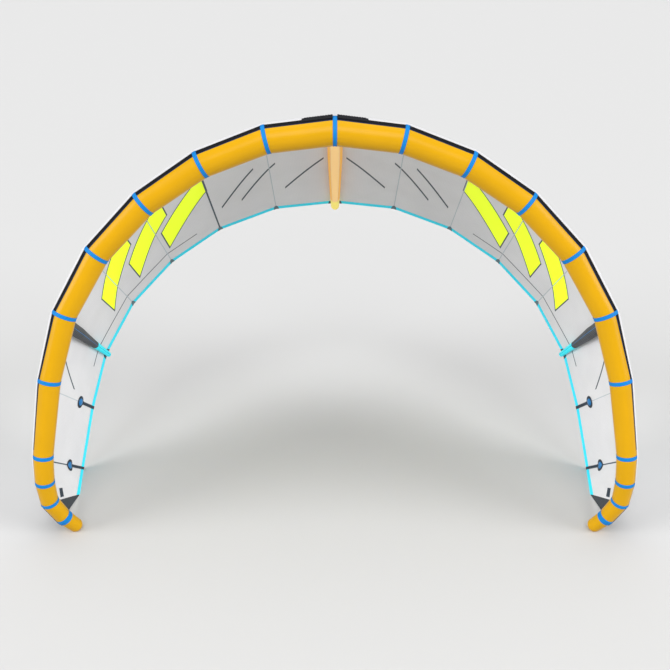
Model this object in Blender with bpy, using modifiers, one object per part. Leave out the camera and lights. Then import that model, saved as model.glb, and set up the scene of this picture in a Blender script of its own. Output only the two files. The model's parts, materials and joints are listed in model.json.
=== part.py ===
"""An inflatable kitesurfing kite with three struts, standing on its wingtips with its nose up.

World frame: metres, +Z up, X across the span, -Y the way the leading edge faces, and the origin
on the ground under the middle of the kite's box. The kite is laid out in its own level frame,
with its origin at the middle of the leading-edge tube, X to the right wingtip, Y back along the
chord and Z up. An empty turns that frame nose-up until the kite stands on the tube's two ends and
on the rear corners of both wingtips.

A place along the span counts the seams of the leading edge from the middle: 2.5 is halfway
between the second and the third seam on the right, and -2.5 its mirror image on the left. An
angle round the tube is 0 at its front, 90 on its outer side and 180 at its back.
"""

import math
from collections import namedtuple

import bmesh
import bpy
import numpy as np

Station = namedtuple("Station", "run fall sweep tube chord toe splay")

# One row for each seam of the leading edge, from the middle to a wingtip, and one for its end.
# run is the tube's length from the seam before, fall its slope as seen from the front and sweep
# its slope backwards. tube is its diameter there. chord is the straight distance from the tube's
# axis to the trailing edge, toe the angle by which that line turns inwards and splay the one by
# which it turns towards the wingtip. Rows with no chord end on the wingtip's own edges.
STATIONS = (
    Station(0.000, 0.0, 0.0, 0.177, 1.74, 0.7, 0.0),
    Station(0.412, 5.8, 4.0, 0.175, 1.72, 0.6, 0.7),
    Station(0.417, 19.3, 8.0, 0.172, 1.67, 0.7, 1.5),
    Station(0.423, 31.8, 12.0, 0.166, 1.59, 1.1, 2.0),
    Station(0.424, 45.0, 13.5, 0.160, 1.48, 1.6, 2.3),
    Station(0.423, 59.7, 14.5, 0.151, 1.35, 2.3, 3.0),
    Station(0.428, 74.5, 17.5, 0.140, 1.19, 3.3, 3.2),
    Station(0.489, 81.9, 21.0, 0.126, 1.05, 3.0, 2.6),
    Station(0.183, 87.9, 30.0, 0.122, None, 0.0, 0.0),
    Station(0.164, 94.9, 41.0, 0.115, 0.57, 9.2, -1.8),
    Station(0.163, 125.2, 41.0, 0.104, None, 0.0, 0.0),
    Station(0.115, 139.9, 47.0, 0.092, None, 0.0, 0.0),
)
STRUT_SEAM, BATTEN_SEAMS = 5, (6, 7)
LAST_RIB, TIP_RIB, TIP_PATCH_END, TIP_PATCH_REACH = 7, 9, 10.25, 0.985

CLOTH = 0.002  # canopy and trailing-edge band
TAPE = 0.0015  # rings, strips and patches
CLEAR = 0.0003  # between pieces that touch
FACET_CLEAR = 0.0008  # between a flat-sided piece and a round one
SEAM_CLEAR = 0.0004  # between the edges of two sheets that are sewn together
TIP_CLEAR = 0.0010  # the same beside the wingtip's slanting rear edge
CORNER_CLEAR = 0.0012  # between the band's end and the tip patch, which both narrow to one corner

# The canopy leaves the tube at CANOPY_ANGLE, touching it, and each rib is one cubic curve.
CANOPY_ANGLE = 61.0
RIB_FRONT_HANDLE, RIB_REAR_HANDLE, RIB_REAR_SLOPE = 0.22, 0.42, 10.0
# Where along the rib the cloth starts to arch, is full, and starts to flatten to a straight edge.
BULGE_FROM, BULGE_FULL, BULGE_FADE = 0.02, 0.35, 0.60
RIB_ROWS = np.linspace(0, 1, 11) ** 1.5  # shares of the rib, closer where it bends more
PANEL_STEPS, TIP_STEPS = 4, 2  # from one seam to the next, and between the tube's short segments
BAND_WIDTH = 0.046
RING_WIDTH, END_RING_WIDTH = 0.025, 0.040
RING_START, RING_END, RING_SIDES = 100.0, 60.0, 20  # under the canopy, and before its front edge
RING_STEP_EARLY = 3.0  # degrees before the strip at which a ring has stepped up
STRIP_LOW, STRIP_HIGH, STRIP_TIP_LOW = 29.0, 59.4, 52.0
STRIP_TAPER = (4.4, 7.4)  # the places between which the strip narrows
STRIP_END = 6.9
PAD_LENGTH, PAD_THICK, PAD_LOW, PAD_HIGH = 0.175, 0.006, 40.0, 76.0
TUBE_SIDES_RESOLUTION, STRUT_SIDES_RESOLUTION = 10, 6  # a bevel of n gives 4 + 2 n sides
DOME_TURNS = (20, 40, 58, 72, 82)  # a tube's closed end, in degrees round its quarter ellipse
TUBE_DOME, STRUT_DOME = 0.85, 1.0  # a dome's length in radii
STRUT_AT = (0.0, 0.60, 0.80, 1.0)  # places along the rib, and a strut's diameters there
MIDDLE_STRUT = (0.104, 0.097, 0.080, 0.058)
SIDE_STRUT = (0.088, 0.080, 0.052, 0.034)
STRUT_DROP = 0.0016  # below the canopy, which comes to a ridge along the seam over it
STRUT_TO = 0.99  # where along the rib a strut's dome begins
TAIL_FROM, TAIL_GAP = 0.82, 3 * SEAM_CLEAR  # where a side strut's tail begins, and the gap there
BATTEN_WIDTH, BATTEN_DISC, BATTEN_SHORT = 0.022, 0.084, 0.004  # short of the trailing edge
BATTEN_UNDER = (0.0011, 0.0014)  # between the curved canopy and the pockets on its inner face
TAB_UNDER = 0.0012  # the same for the tab
BATTEN_DISC_AT = (0.84, 0.81)
DISC_TURNS = (4, 25, 50, 75, 105, 130, 150)  # the round patch's cross lines, in degrees
TAB_WIDTH, TAB_FROM, TAB_TO, TAB_AT = 0.045, 8.37, 8.88, 0.67
NOSE_UP = 32.9  # degrees
FLOOR_CUT = 0.0012  # how much of the wingtips' rear corners the ground takes off

YELLOW, AZURE, BLACK = (0.84, 0.45, 0.01), (0.01, 0.27, 0.77), (0.006, 0.007, 0.009)
CLOTH_GREY, CYAN = (0.62, 0.62, 0.61), (0.04, 0.62, 0.80)
CHARCOAL, ORANGE, SLATE = (0.045, 0.05, 0.055), (0.93, 0.55, 0.19), (0.05, 0.06, 0.075)


def unit(vectors):
    """The vectors along the last axis, each made one long."""
    return vectors / np.linalg.norm(vectors, axis=-1, keepdims=True)


def runs():
    """Each tube segment of the right half as a vector, the first one empty."""
    table = np.array([(row.run, row.fall, row.sweep) for row in STATIONS])
    length, (fall, sweep) = table[:, 0], np.radians(table[:, 1:]).T
    level = length * np.cos(sweep)
    return np.stack([level * np.cos(fall), length * np.sin(sweep), -level * np.sin(fall)], axis=1)


RUNS = runs()
CENTRE = np.cumsum(RUNS, axis=0)
RADIUS = np.array([row.tube for row in STATIONS]) / 2


def rib_end(seam):
    """Where the straight line of a rib meets the trailing edge."""
    row = STATIONS[seam]
    slope = math.radians((row.fall + STATIONS[seam + 1].fall) / 2) if seam else 0.0
    inward = np.array([-math.sin(slope), 0.0, -math.cos(slope)])
    along = np.array([math.cos(slope), 0.0, -math.sin(slope)])
    aft = np.array([0.0, 1.0, 0.0])
    way = aft + inward * math.tan(math.radians(row.toe)) + along * math.tan(math.radians(row.splay))
    return CENTRE[seam] + row.chord * unit(way)


def trailing_edge():
    """The rear end of each rib. The wingtip's rear edge is straight, and its last ribs share a corner.

    The last row is the tube's own end, so that the patch there can reach past the last ring.
    """
    ends = [rib_end(seam) for seam in range(LAST_RIB + 1)]
    corner = rib_end(TIP_RIB)
    return np.array(ends + [(ends[-1] + corner) / 2, corner, corner, corner])


REAR = trailing_edge()


def tube_axes():
    """The backward and the outward direction square to the tube at each seam."""
    forward = unit(RUNS[1:])
    along = unit(forward + np.concatenate([forward[:1] * (1, -1, -1), forward[:-1]]))
    along = np.concatenate([along, forward[-1:]])
    outward = unit(np.cross(along, unit(REAR - CENTRE)))
    return np.cross(outward, along), outward


AFT, OUTWARD = tube_axes()


def on_tube(place, angle, off=0.0):
    """Points at these places and angles round the tube, each this far off its surface."""
    place, angle, off = np.broadcast_arrays(np.asarray(place, float), angle, off)
    seam = np.minimum(np.abs(place).astype(int), len(STATIONS) - 2)
    turn = np.radians(angle)[..., None]
    ends = [
        CENTRE[at] + (RADIUS[at] + off)[..., None] * (np.sin(turn) * OUTWARD[at] - np.cos(turn) * AFT[at])
        for at in (seam, seam + 1)
    ]
    share = (np.abs(place) - seam)[..., None]
    points = ends[0] * (1 - share) + ends[1] * share
    points[..., 0] *= np.where(place < 0, -1.0, 1.0)
    return points


def rib_handles():
    """The four control points of each rib's curve, from the tube to the trailing edge."""
    seams = np.arange(len(REAR))
    front = on_tube(seams, CANOPY_ANGLE, FACET_CLEAR)
    line = REAR - CENTRE
    chord, back = np.linalg.norm(line, axis=1)[:, None], unit(line)
    rise = math.tan(math.radians(90 - CANOPY_ANGLE)) * (back * AFT).sum(axis=1)[:, None]
    slope = math.radians(RIB_REAR_SLOPE)
    first = front + RIB_FRONT_HANDLE * chord * unit(back + rise * OUTWARD)
    second = REAR + RIB_REAR_HANDLE * chord * (math.sin(slope) * OUTWARD - math.cos(slope) * back)
    return np.stack([front, first, second, REAR], axis=1)


HANDLES = rib_handles()


def bulge_heights():
    """How far the cloth arches out midway between two seams.

    The arch is an arc that turns as much as the tube's slope does over that segment, so its
    height is an eighth of its width times that turn.
    """
    turn = np.radians([0.0] + [row.fall for row in STATIONS[1 : LAST_RIB + 2]])
    kink = np.diff(turn)
    kink[0] *= 2
    width = np.array([row.run for row in STATIONS[1 : LAST_RIB + 1]])
    heights = width * (kink[:-1] + kink[1:]) / 2 / 8  # half of each seam's kink is this segment's
    return np.concatenate([heights, np.zeros(len(REAR) - LAST_RIB)])


BULGE = bulge_heights()


def smooth_step(value, low, high):
    share = np.clip((value - low) / (high - low), 0, 1)
    return share * share * (3 - 2 * share)


def skin(place, along):
    """Points on the canopy's inner face: along is 0 at the tube and 1 at the trailing edge."""
    place, along = np.broadcast_arrays(np.asarray(place, float), np.asarray(along, float))
    seam = np.minimum(np.abs(place).astype(int), len(REAR) - 2)
    share = np.abs(place) - seam
    rest = 1 - along
    weights = np.stack([rest**3, 3 * rest**2 * along, 3 * rest * along**2, along**3], axis=-1)[..., None]
    ribs = [(weights * HANDLES[at]).sum(axis=-2) for at in (seam, seam + 1)]
    bulge = BULGE[seam] * 4 * share * (1 - share) * smooth_step(along, BULGE_FROM, BULGE_FULL)
    bulge = bulge * (1 - smooth_step(along, BULGE_FADE, 1.0))
    out = unit(OUTWARD[seam] + OUTWARD[seam + 1])
    points = ribs[0] * (1 - share)[..., None] + ribs[1] * share[..., None] + bulge[..., None] * out
    points[..., 0] *= np.where(place < 0, -1.0, 1.0)
    return points


def off_skin(place, along, off):
    """Points this far outside the canopy's inner face, square to it."""
    place, along = np.broadcast_arrays(np.asarray(place, float), np.asarray(along, float))
    step = 1e-3
    across = skin(place + step, along) - skin(place - step, along)
    back = skin(place, np.minimum(along + step, 1)) - skin(place, np.maximum(along - step, 0))
    return skin(place, along) + np.asarray(off)[..., None] * unit(np.cross(across, back))


def chord_at(place):
    lengths = np.linalg.norm(REAR - CENTRE, axis=1)
    return np.interp(np.abs(place), np.arange(len(lengths)), lengths)


def rear_speed(place):
    """Metres of cloth for each unit along the rib near the trailing edge: the cubic's speed there."""
    return 3 * RIB_REAR_HANDLE * chord_at(place)


def before_edge(place, distance):
    """The value along the rib at this distance before the trailing edge."""
    return 1 - distance / rear_speed(place)


def beside_rib(seam, along, way):
    """Where a step of the place leads from a rib, on one side: metres across it and back along it."""
    step = 1e-3
    here = skin(float(seam), along)
    back = unit(skin(float(seam), along + step) - here)
    move = (skin(seam + way * step, along) - here) / step
    slide = (move * back).sum(axis=-1)
    return np.linalg.norm(move - slide[..., None] * back, axis=-1), slide


def on_side(side, places):
    """The places on the right as they are, or their mirror images, still from left to right."""
    return places if side > 0 else -places[::-1]


def finish(name, colour, roughness):
    material = bpy.data.materials.new(name)
    material.use_nodes = True
    shader = material.node_tree.nodes["Principled BSDF"]
    shader.inputs["Base Color"].default_value = (*colour, 1.0)
    shader.inputs["Roughness"].default_value = roughness
    shader.inputs["Metallic"].default_value = 0.0
    return material


class Kite:
    """Makes the pieces, each under one empty that holds the kite's stance."""

    def __init__(self):
        self.parts = self.collection("kite")
        self.cutters = self.collection("cutters")
        self.stance = bpy.data.objects.new("stance", None)
        self.parts.objects.link(self.stance)

    def collection(self, name):
        made = bpy.data.collections.new(name)
        bpy.context.scene.collection.children.link(made)
        return made

    def add(self, name, data, material):
        obj = bpy.data.objects.new(name, data)
        data.materials.append(material)
        obj.parent = self.stance
        self.parts.objects.link(obj)
        return obj

    def sheet(self, name, grid, thickness, material):
        """A sheet that grows outwards from a grid whose columns run left to right and rows backwards."""
        rows, columns = grid.shape[:2]
        corner = (np.arange(rows - 1)[:, None] * columns + np.arange(columns - 1)).ravel()
        faces = np.stack([corner, corner + 1, corner + columns + 1, corner + columns], axis=1)
        mesh = bpy.data.meshes.new(name)
        mesh.from_pydata(grid.reshape(-1, 3).tolist(), [], faces.tolist())
        mesh.shade_smooth()
        obj = self.add(name, mesh, material)
        solid = obj.modifiers.new("thickness", "SOLIDIFY")
        solid.thickness = abs(thickness)
        solid.offset = math.copysign(1.0, thickness)
        solid.use_even_offset = True
        return obj

    def tube(self, name, points, radii, resolution, material):
        """An inflated tube as a round-bevelled curve with closed ends."""
        curve = bpy.data.curves.new(name, "CURVE")
        curve.dimensions = "3D"
        curve.bevel_depth = 1.0
        curve.bevel_resolution = resolution
        curve.use_fill_caps = True
        spline = curve.splines.new("POLY")
        spline.points.add(len(points) - 1)
        spline.points.foreach_set("co", np.column_stack([points, np.ones(len(points))]).ravel())
        spline.points.foreach_set("radius", np.asarray(radii, float))
        spline.use_smooth = True
        return self.add(name, curve, material)

    def as_mesh(self, curve_object):
        """The same tube as a closed mesh, which can be cut."""
        graph = bpy.context.evaluated_depsgraph_get()
        mesh = bpy.data.meshes.new_from_object(curve_object.evaluated_get(graph))
        welded = bmesh.new()
        welded.from_mesh(mesh)
        bmesh.ops.remove_doubles(welded, verts=welded.verts, dist=1e-5)
        bmesh.ops.recalc_face_normals(welded, faces=welded.faces)
        welded.to_mesh(mesh)
        welded.free()
        name = curve_object.name
        solid = bpy.data.objects.new(name, mesh)
        solid.parent = self.stance
        self.parts.objects.link(solid)
        bpy.data.objects.remove(curve_object)
        solid.name = name
        return solid

    def as_cutter(self, obj):
        self.parts.objects.unlink(obj)
        self.cutters.objects.link(obj)
        obj.hide_render = True
        obj.display_type = "WIRE"
        return obj

    def cut(self, obj, cutter):
        boolean = obj.modifiers.new("cut by " + cutter.name, "BOOLEAN")
        boolean.object = cutter
        boolean.operation = "DIFFERENCE"
        boolean.solver = "EXACT"


def rounded_end(points, radii, length):
    """Closes a tube's end with a dome: a quarter ellipse of this length, down to a small flat."""
    way = unit(points[-1] - points[-2])
    turn = np.radians(DOME_TURNS)
    dome = points[-1] + length * np.sin(turn)[:, None] * way
    return np.vstack([points, dome]), np.concatenate([radii, radii[-1] * np.cos(turn)])


def leading_edge_line(off):
    """The leading-edge tube's axis and radii, from the left end to the right one."""
    points, radii = rounded_end(CENTRE, RADIUS + off, TUBE_DOME * RADIUS[-1])
    return np.vstack([points[:0:-1] * (-1, 1, 1), points]), np.concatenate([radii[:0:-1], radii])


def add_leading_edge(kite, material, floor):
    points, radii = leading_edge_line(0.0)
    curve = kite.tube("leading_edge", points, radii, TUBE_SIDES_RESOLUTION, material)
    kite.cut(kite.as_mesh(curve), floor)


def add_saddle(kite, material):
    """The leading edge with its rings, a little larger, for the struts' fronts to be cut by."""
    facet = RADIUS[0] * (1 / math.cos(math.pi / (4 + 2 * TUBE_SIDES_RESOLUTION)) - 1)
    points, radii = leading_edge_line(ring_height(RADIUS[0]) + TAPE + CLEAR + facet)
    curve = kite.tube("saddle", points, radii, TUBE_SIDES_RESOLUTION, material)
    return kite.as_cutter(kite.as_mesh(curve))


RING_ANGLES = np.linspace(RING_START, 360 + RING_END, RING_SIDES + 1)
RING_STEP = RING_ANGLES[1] - RING_ANGLES[0]


def ring_height(radius):
    """How far a ring's corners stand off the tube for its flat sides to clear it."""
    return radius * (1 / math.cos(math.radians(RING_STEP / 2)) - 1) + CLEAR


def strip_low(place):
    taper = smooth_step(np.abs(place), *STRIP_TAPER)
    return STRIP_LOW + (STRIP_TIP_LOW - STRIP_LOW) * taper


def add_ring(kite, name, seam, width, material):
    """A band round the tube at a seam, which steps over the strip and stops at the canopy."""
    run = [STATIONS[max(abs(seam), 1)].run, STATIONS[min(abs(seam) + 1, len(STATIONS) - 1)].run]
    if seam <= 0:
        run.reverse()
    places = seam + np.array([-width / 2 / run[0], 0.0, width / 2 / run[1]])
    step_at = 360 + strip_low(seam) - RING_STEP - RING_STEP_EARLY
    over = (RING_ANGLES > step_at) & (abs(seam) < STRIP_END)
    height = ring_height(RADIUS[abs(seam)]) + over * (FACET_CLEAR + TAPE)
    grid = on_tube(places[None, :], RING_ANGLES[:, None], height[:, None])
    kite.sheet(name, grid, TAPE, material)


def add_rings(kite, material):
    add_ring(kite, "ring_middle", 0, RING_WIDTH, material)
    for seam in range(1, len(STATIONS) - 1):
        width = END_RING_WIDTH if seam == len(STATIONS) - 2 else RING_WIDTH
        add_ring(kite, f"ring_right_{seam}", seam, width, material)
        add_ring(kite, f"ring_left_{seam}", -seam, width, material)


def span_places(first, last, steps):
    """Places from one seam to another, a little short of both, with this many steps between seams."""
    places = np.linspace(first, last, (last - first) * steps + 1)
    places[0] += SEAM_CLEAR / 2 / STATIONS[first + 1].run
    places[-1] -= SEAM_CLEAR / 2 / STATIONS[last].run
    return places


def add_canopy(kite, side, label, material):
    """Eight panels between seams. The last one takes in two of the tube's short segments."""
    for number in range(1, LAST_RIB + 2):
        last = number if number <= LAST_RIB else TIP_RIB
        steps = PANEL_STEPS if number <= LAST_RIB else TIP_STEPS
        places = on_side(side, span_places(number - 1, last, steps))
        gap = SEAM_CLEAR if number <= LAST_RIB else TIP_CLEAR
        along = RIB_ROWS[:, None] * before_edge(places, BAND_WIDTH + gap)
        kite.sheet(f"canopy_{label}_{number}", skin(places, along), CLOTH, material)


def add_band(kite, side, label, material):
    """The stiffer band along the trailing edge, from the middle to the wingtip's corner."""
    places = span_places(0, TIP_RIB, PANEL_STEPS)
    places[-1] -= CORNER_CLEAR / STATIONS[TIP_RIB].run
    places = on_side(side, places)
    along = np.stack([before_edge(places, BAND_WIDTH), np.ones_like(places)])
    return kite.sheet(f"edge_band_{label}", skin(places, along), CLOTH, material)


def add_tip_patch(kite, side, label, material):
    """The triangle between the tube and the wingtip's corner, a little blunt there."""
    start = TIP_RIB + SEAM_CLEAR / STATIONS[TIP_RIB + 1].run
    places = on_side(side, np.array([start, TIP_RIB + 0.5, TIP_RIB + 1, TIP_PATCH_END]))
    along = TIP_PATCH_REACH * RIB_ROWS[::2, None]
    kite.sheet(f"tip_patch_{label}", skin(places, along), CLOTH, material)


def add_strip(kite, side, label, material):
    """The strip along the tube that covers the canopy's seam."""
    start = CLEAR / STATIONS[1].run
    places = on_side(side, np.concatenate([[start], np.arange(1, STRIP_END), [STRIP_END]]))
    low = strip_low(places)
    angles = low + (STRIP_HIGH - low) * np.linspace(0, 1, 4)[:, None]
    kite.sheet(f"edge_strip_{label}", on_tube(places, angles, FACET_CLEAR), TAPE, material)


def add_pad(kite, side, label, material):
    """The pad beside the middle ring, over the strip and the canopy's front edge."""
    run = STATIONS[1].run
    start = RING_WIDTH / 2 + SEAM_CLEAR
    places = on_side(side, np.linspace(start, start + PAD_LENGTH, 3) / run)
    angles = np.linspace(PAD_LOW, PAD_HIGH, 7)[:, None]
    past = np.radians(np.maximum(angles - CANOPY_ANGLE, 0))
    over = RADIUS[0] * (1 / np.cos(past) - 1) + CLOTH + FACET_CLEAR
    grid = on_tube(places, angles, over + 2 * FACET_CLEAR)
    kite.sheet(f"nose_pad_{label}", grid, PAD_THICK, material)


def strut_line(seam, along, diameters):
    """A strut's axis under a rib, and its radii."""
    radii = np.interp(along, STRUT_AT, diameters) / 2
    return off_skin(float(seam), along, -(radii + STRUT_DROP)), radii


def add_struts(kite, front, tail, middle, saddle):
    """The middle strut, and two shorter ones, each with a tail of another cloth."""
    rows = np.append(RIB_ROWS * before_edge(0, BAND_WIDTH), STRUT_TO)
    dome = STRUT_DOME * MIDDLE_STRUT[-1] / 2
    points, radii = rounded_end(*strut_line(0, rows, MIDDLE_STRUT), dome)
    curve = kite.tube("strut_middle", points, radii, STRUT_SIDES_RESOLUTION, middle)
    kite.cut(kite.as_mesh(curve), saddle)
    for label, side in (("right", 1), ("left", -1)):
        seam = side * STRUT_SEAM
        rows = RIB_ROWS * before_edge(seam, BAND_WIDTH)
        points, radii = strut_line(seam, np.append(rows[rows < TAIL_FROM], TAIL_FROM), SIDE_STRUT)
        curve = kite.tube(f"strut_{label}", points, radii, STRUT_SIDES_RESOLUTION, front)
        kite.cut(kite.as_mesh(curve), saddle)
        start = TAIL_FROM + TAIL_GAP / STATIONS[STRUT_SEAM].chord
        rows = np.concatenate([[start], rows[rows > start], [STRUT_TO]])
        points, radii = strut_line(seam, rows, SIDE_STRUT)
        points, radii = rounded_end(points, radii, STRUT_DOME * SIDE_STRUT[-1] / 2)
        kite.tube(f"strut_tail_{label}", points, radii, STRUT_SIDES_RESOLUTION, tail)


def add_battens(kite, side, label, material):
    """Two narrow pockets under the canopy, each from a round patch to just past the edge."""
    for number, (seam, disc_at) in enumerate(zip(BATTEN_SEAMS, BATTEN_DISC_AT), start=1):
        per_metre = 1 / rear_speed(seam)
        radius = BATTEN_DISC / 2
        disc = -radius * np.cos(np.radians(DISC_TURNS))
        to_edge = (1 - disc_at) / per_metre - BATTEN_SHORT
        tail = np.linspace(disc[-1], to_edge, 5)[1:]
        distance = np.concatenate([disc, tail])
        half = np.sqrt(np.maximum(radius**2 - distance**2, 0))
        half = np.where(distance > 0, np.maximum(half, BATTEN_WIDTH / 2), half)
        along = disc_at + distance * per_metre
        square = np.interp(distance, (disc[-1], to_edge), (1.0, 0.0)) * per_metre  # its end slants
        across = np.linspace(-1, 1, 5)
        sides = [beside_rib(seam, along, way) for way in (-1, 1)]
        width, slide = (np.where(across < 0, *(each[:, None] for each in pair)) for pair in zip(*sides))
        step = half[:, None] * across / width
        places, along = seam + step, along[:, None] - np.abs(step) * slide * square[:, None]
        if side < 0:
            places, along = -places[:, ::-1], along[:, ::-1]
        grid = off_skin(places, along, np.full(places.shape, -BATTEN_UNDER[number - 1]))
        kite.sheet(f"batten_{label}_{number}", grid, -TAPE, material)


def add_tip_tab(kite, side, label, material):
    """A short webbing tab under the canopy, beside the tube near the wingtip."""
    places = on_side(side, np.linspace(TAB_FROM, TAB_TO, 4))
    half = TAB_WIDTH / 2 / rear_speed(places)
    along = np.stack([TAB_AT - half, TAB_AT + half])
    grid = off_skin(places[None, :], along, np.full(along.shape, -TAB_UNDER))
    kite.sheet(f"tip_tab_{label}", grid, -TAPE, material)


def set_stance(kite):
    """Turns the kite nose-up and lowers it until its wingtips' rear corners are just under ground."""
    pitch = math.radians(NOSE_UP)
    low = REAR[LAST_RIB][2] * math.cos(pitch) - REAR[LAST_RIB][1] * math.sin(pitch)
    kite.stance.rotation_euler = (-pitch, 0, 0)
    kite.stance.location = (0, 0, -low - FLOOR_CUT)


def add_floor(kite):
    """The ground, which takes a flat off whatever stands on it."""
    cube = bmesh.new()
    bmesh.ops.create_cube(cube, size=1.0)
    bmesh.ops.scale(cube, vec=(6.0, 6.0, 1.0), verts=cube.verts)
    bmesh.ops.translate(cube, vec=(0.0, 0.0, -0.5), verts=cube.verts)
    mesh = bpy.data.meshes.new("ground")
    cube.to_mesh(mesh)
    cube.free()
    ground = bpy.data.objects.new("ground", mesh)
    kite.parts.objects.link(ground)
    return kite.as_cutter(ground)


def centre_on_origin(kite):
    """Moves the kite along Y until its box is centred over the origin."""
    bpy.context.view_layer.update()
    graph = bpy.context.evaluated_depsgraph_get()
    depths = []
    for obj in kite.parts.objects:
        if obj.type == "EMPTY":
            continue
        evaluated = obj.evaluated_get(graph)
        mesh = evaluated.to_mesh()
        points = np.empty(len(mesh.vertices) * 3, np.float32)
        mesh.vertices.foreach_get("co", points)
        matrix = np.array(evaluated.matrix_world)
        depths.append(points.reshape(-1, 3) @ matrix[1, :3] + matrix[1, 3])
        evaluated.to_mesh_clear()
    depths = np.concatenate(depths)
    kite.stance.location.y -= (depths.min() + depths.max()) / 2


def main():
    for obj in list(bpy.data.objects):
        bpy.data.objects.remove(obj)
    yellow = finish("yellow coated cloth", YELLOW, 0.45)
    azure = finish("azure band", AZURE, 0.45)
    black = finish("black webbing", BLACK, 0.6)
    grey = finish("grey ripstop", CLOTH_GREY, 0.55)
    cyan = finish("cyan cloth", CYAN, 0.5)
    charcoal = finish("charcoal cloth", CHARCOAL, 0.6)
    orange = finish("orange cloth", ORANGE, 0.45)
    slate = finish("slate cloth", SLATE, 0.6)

    kite = Kite()
    set_stance(kite)
    floor = add_floor(kite)
    add_leading_edge(kite, yellow, floor)
    add_rings(kite, azure)
    add_struts(kite, charcoal, cyan, orange, add_saddle(kite, yellow))
    for label, side in (("right", 1), ("left", -1)):
        add_canopy(kite, side, label, grey)
        kite.cut(add_band(kite, side, label, cyan), floor)
        add_tip_patch(kite, side, label, charcoal)
        add_strip(kite, side, label, black)
        add_pad(kite, side, label, black)
        add_battens(kite, side, label, slate)
        add_tip_tab(kite, side, label, slate)
    centre_on_origin(kite)


if __name__ == "__main__":
    main()
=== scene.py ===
"""Dresses an inflatable kitesurfing kite that stands on its wingtips with its nose up.

Every surface is worked out from the kite's own lines, which KiteForm holds: the leading-edge tube
as a chain of stations, and a rib at each of its seams. A place along the span counts the seams
from the middle, negative on the left. An angle round the tube is 0 at its front, 90 on its outer
side and 180 at its back. A value along a rib is 0 at the tube and 1 at the trailing edge. Lengths
are metres and angles are degrees.
"""

import json
import logging
import math
from dataclasses import dataclass, replace
from enum import Enum

import bpy
import numpy as np
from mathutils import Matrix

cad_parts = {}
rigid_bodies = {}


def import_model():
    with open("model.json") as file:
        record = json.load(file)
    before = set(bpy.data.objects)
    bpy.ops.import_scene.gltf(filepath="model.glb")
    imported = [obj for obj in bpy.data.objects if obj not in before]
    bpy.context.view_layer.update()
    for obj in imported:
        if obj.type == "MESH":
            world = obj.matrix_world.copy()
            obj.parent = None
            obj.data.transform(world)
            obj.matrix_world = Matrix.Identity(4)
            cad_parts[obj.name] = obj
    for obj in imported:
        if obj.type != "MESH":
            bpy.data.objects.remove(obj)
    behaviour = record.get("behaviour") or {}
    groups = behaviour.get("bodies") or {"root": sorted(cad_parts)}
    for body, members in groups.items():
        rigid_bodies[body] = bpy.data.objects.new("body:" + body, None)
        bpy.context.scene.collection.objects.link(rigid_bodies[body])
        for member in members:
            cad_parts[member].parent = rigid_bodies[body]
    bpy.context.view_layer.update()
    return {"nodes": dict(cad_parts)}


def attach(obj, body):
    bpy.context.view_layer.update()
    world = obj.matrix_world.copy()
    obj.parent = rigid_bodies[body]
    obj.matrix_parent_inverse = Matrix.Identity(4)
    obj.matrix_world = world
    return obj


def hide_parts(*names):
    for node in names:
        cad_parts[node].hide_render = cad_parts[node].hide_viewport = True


for leftover in list(bpy.data.objects):
    bpy.data.objects.remove(leftover)
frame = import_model()

LOG = logging.getLogger("kite")
Array = np.ndarray
Tree, Node, Socket = bpy.types.NodeTree, bpy.types.Node, bpy.types.NodeSocket
SIDES = {"left": -1, "right": 1}
MIRROR = np.array([-1.0, 1.0, 1.0])
MM = 0.001


@dataclass(frozen=True)
class Station:
    """One seam of the leading edge, counted from the middle.

    run is the tube's length from the seam before, fall its slope as seen from the front and
    sweep its slope backwards. tube is its diameter. chord is the straight distance to the
    trailing edge, toe the angle by which that line turns inwards and splay towards the wingtip.
    """

    run: float
    fall: float
    sweep: float
    tube: float
    chord: float | None
    toe: float
    splay: float


STATIONS = (
    Station(0.000, 0.0, 0.0, 0.177, 1.74, 0.7, 0.0),
    Station(0.412, 5.8, 4.0, 0.175, 1.72, 0.6, 0.7),
    Station(0.417, 19.3, 8.0, 0.172, 1.67, 0.7, 1.5),
    Station(0.423, 31.8, 12.0, 0.166, 1.59, 1.1, 2.0),
    Station(0.424, 45.0, 13.5, 0.160, 1.48, 1.6, 2.3),
    Station(0.423, 59.7, 14.5, 0.151, 1.35, 2.3, 3.0),
    Station(0.428, 74.5, 17.5, 0.140, 1.19, 3.3, 3.2),
    Station(0.489, 81.9, 21.0, 0.126, 1.05, 3.0, 2.6),
    Station(0.183, 87.9, 30.0, 0.122, None, 0.0, 0.0),
    Station(0.164, 94.9, 41.0, 0.115, 0.57, 9.2, -1.8),
    Station(0.163, 125.2, 41.0, 0.104, None, 0.0, 0.0),
    Station(0.115, 139.9, 47.0, 0.092, None, 0.0, 0.0),
)
LAST_SEAM = len(STATIONS) - 2
STRUT_SEAM = 5
BATTEN_SEAMS = (6, 7)
LAST_RIB = 7
TIP_RIB = 9
NOSE_UP = 32.9

CLOTH = 2.0 * MM
TAPE = 1.3 * MM
SEAT = 0.3 * MM  # between pieces that touch
CANOPY_ANGLE = 61.0  # where the canopy leaves the tube
BAND_WIDTH = 0.046


def unit(vectors: Array) -> Array:
    """The vectors along the last axis, each made one long."""
    return vectors / np.linalg.norm(vectors, axis=-1, keepdims=True)


def smooth_step(value: Array, low: float, high: float) -> Array:
    """0 below low, 1 above high, and a cubic with level ends between them."""
    share = np.clip((value - low) / (high - low), 0, 1)
    return share * share * (3 - 2 * share)


def on_side(side: int, places: Array) -> Array:
    """The places on the right as they are, or their mirror images, still from left to right."""
    return places if side > 0 else -places[::-1]


def seam_label(seam: int) -> str:
    """A seam's name: its side and number, or middle."""
    return f"{'left' if seam < 0 else 'right'}_{abs(seam)}" if seam else "middle"


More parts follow.
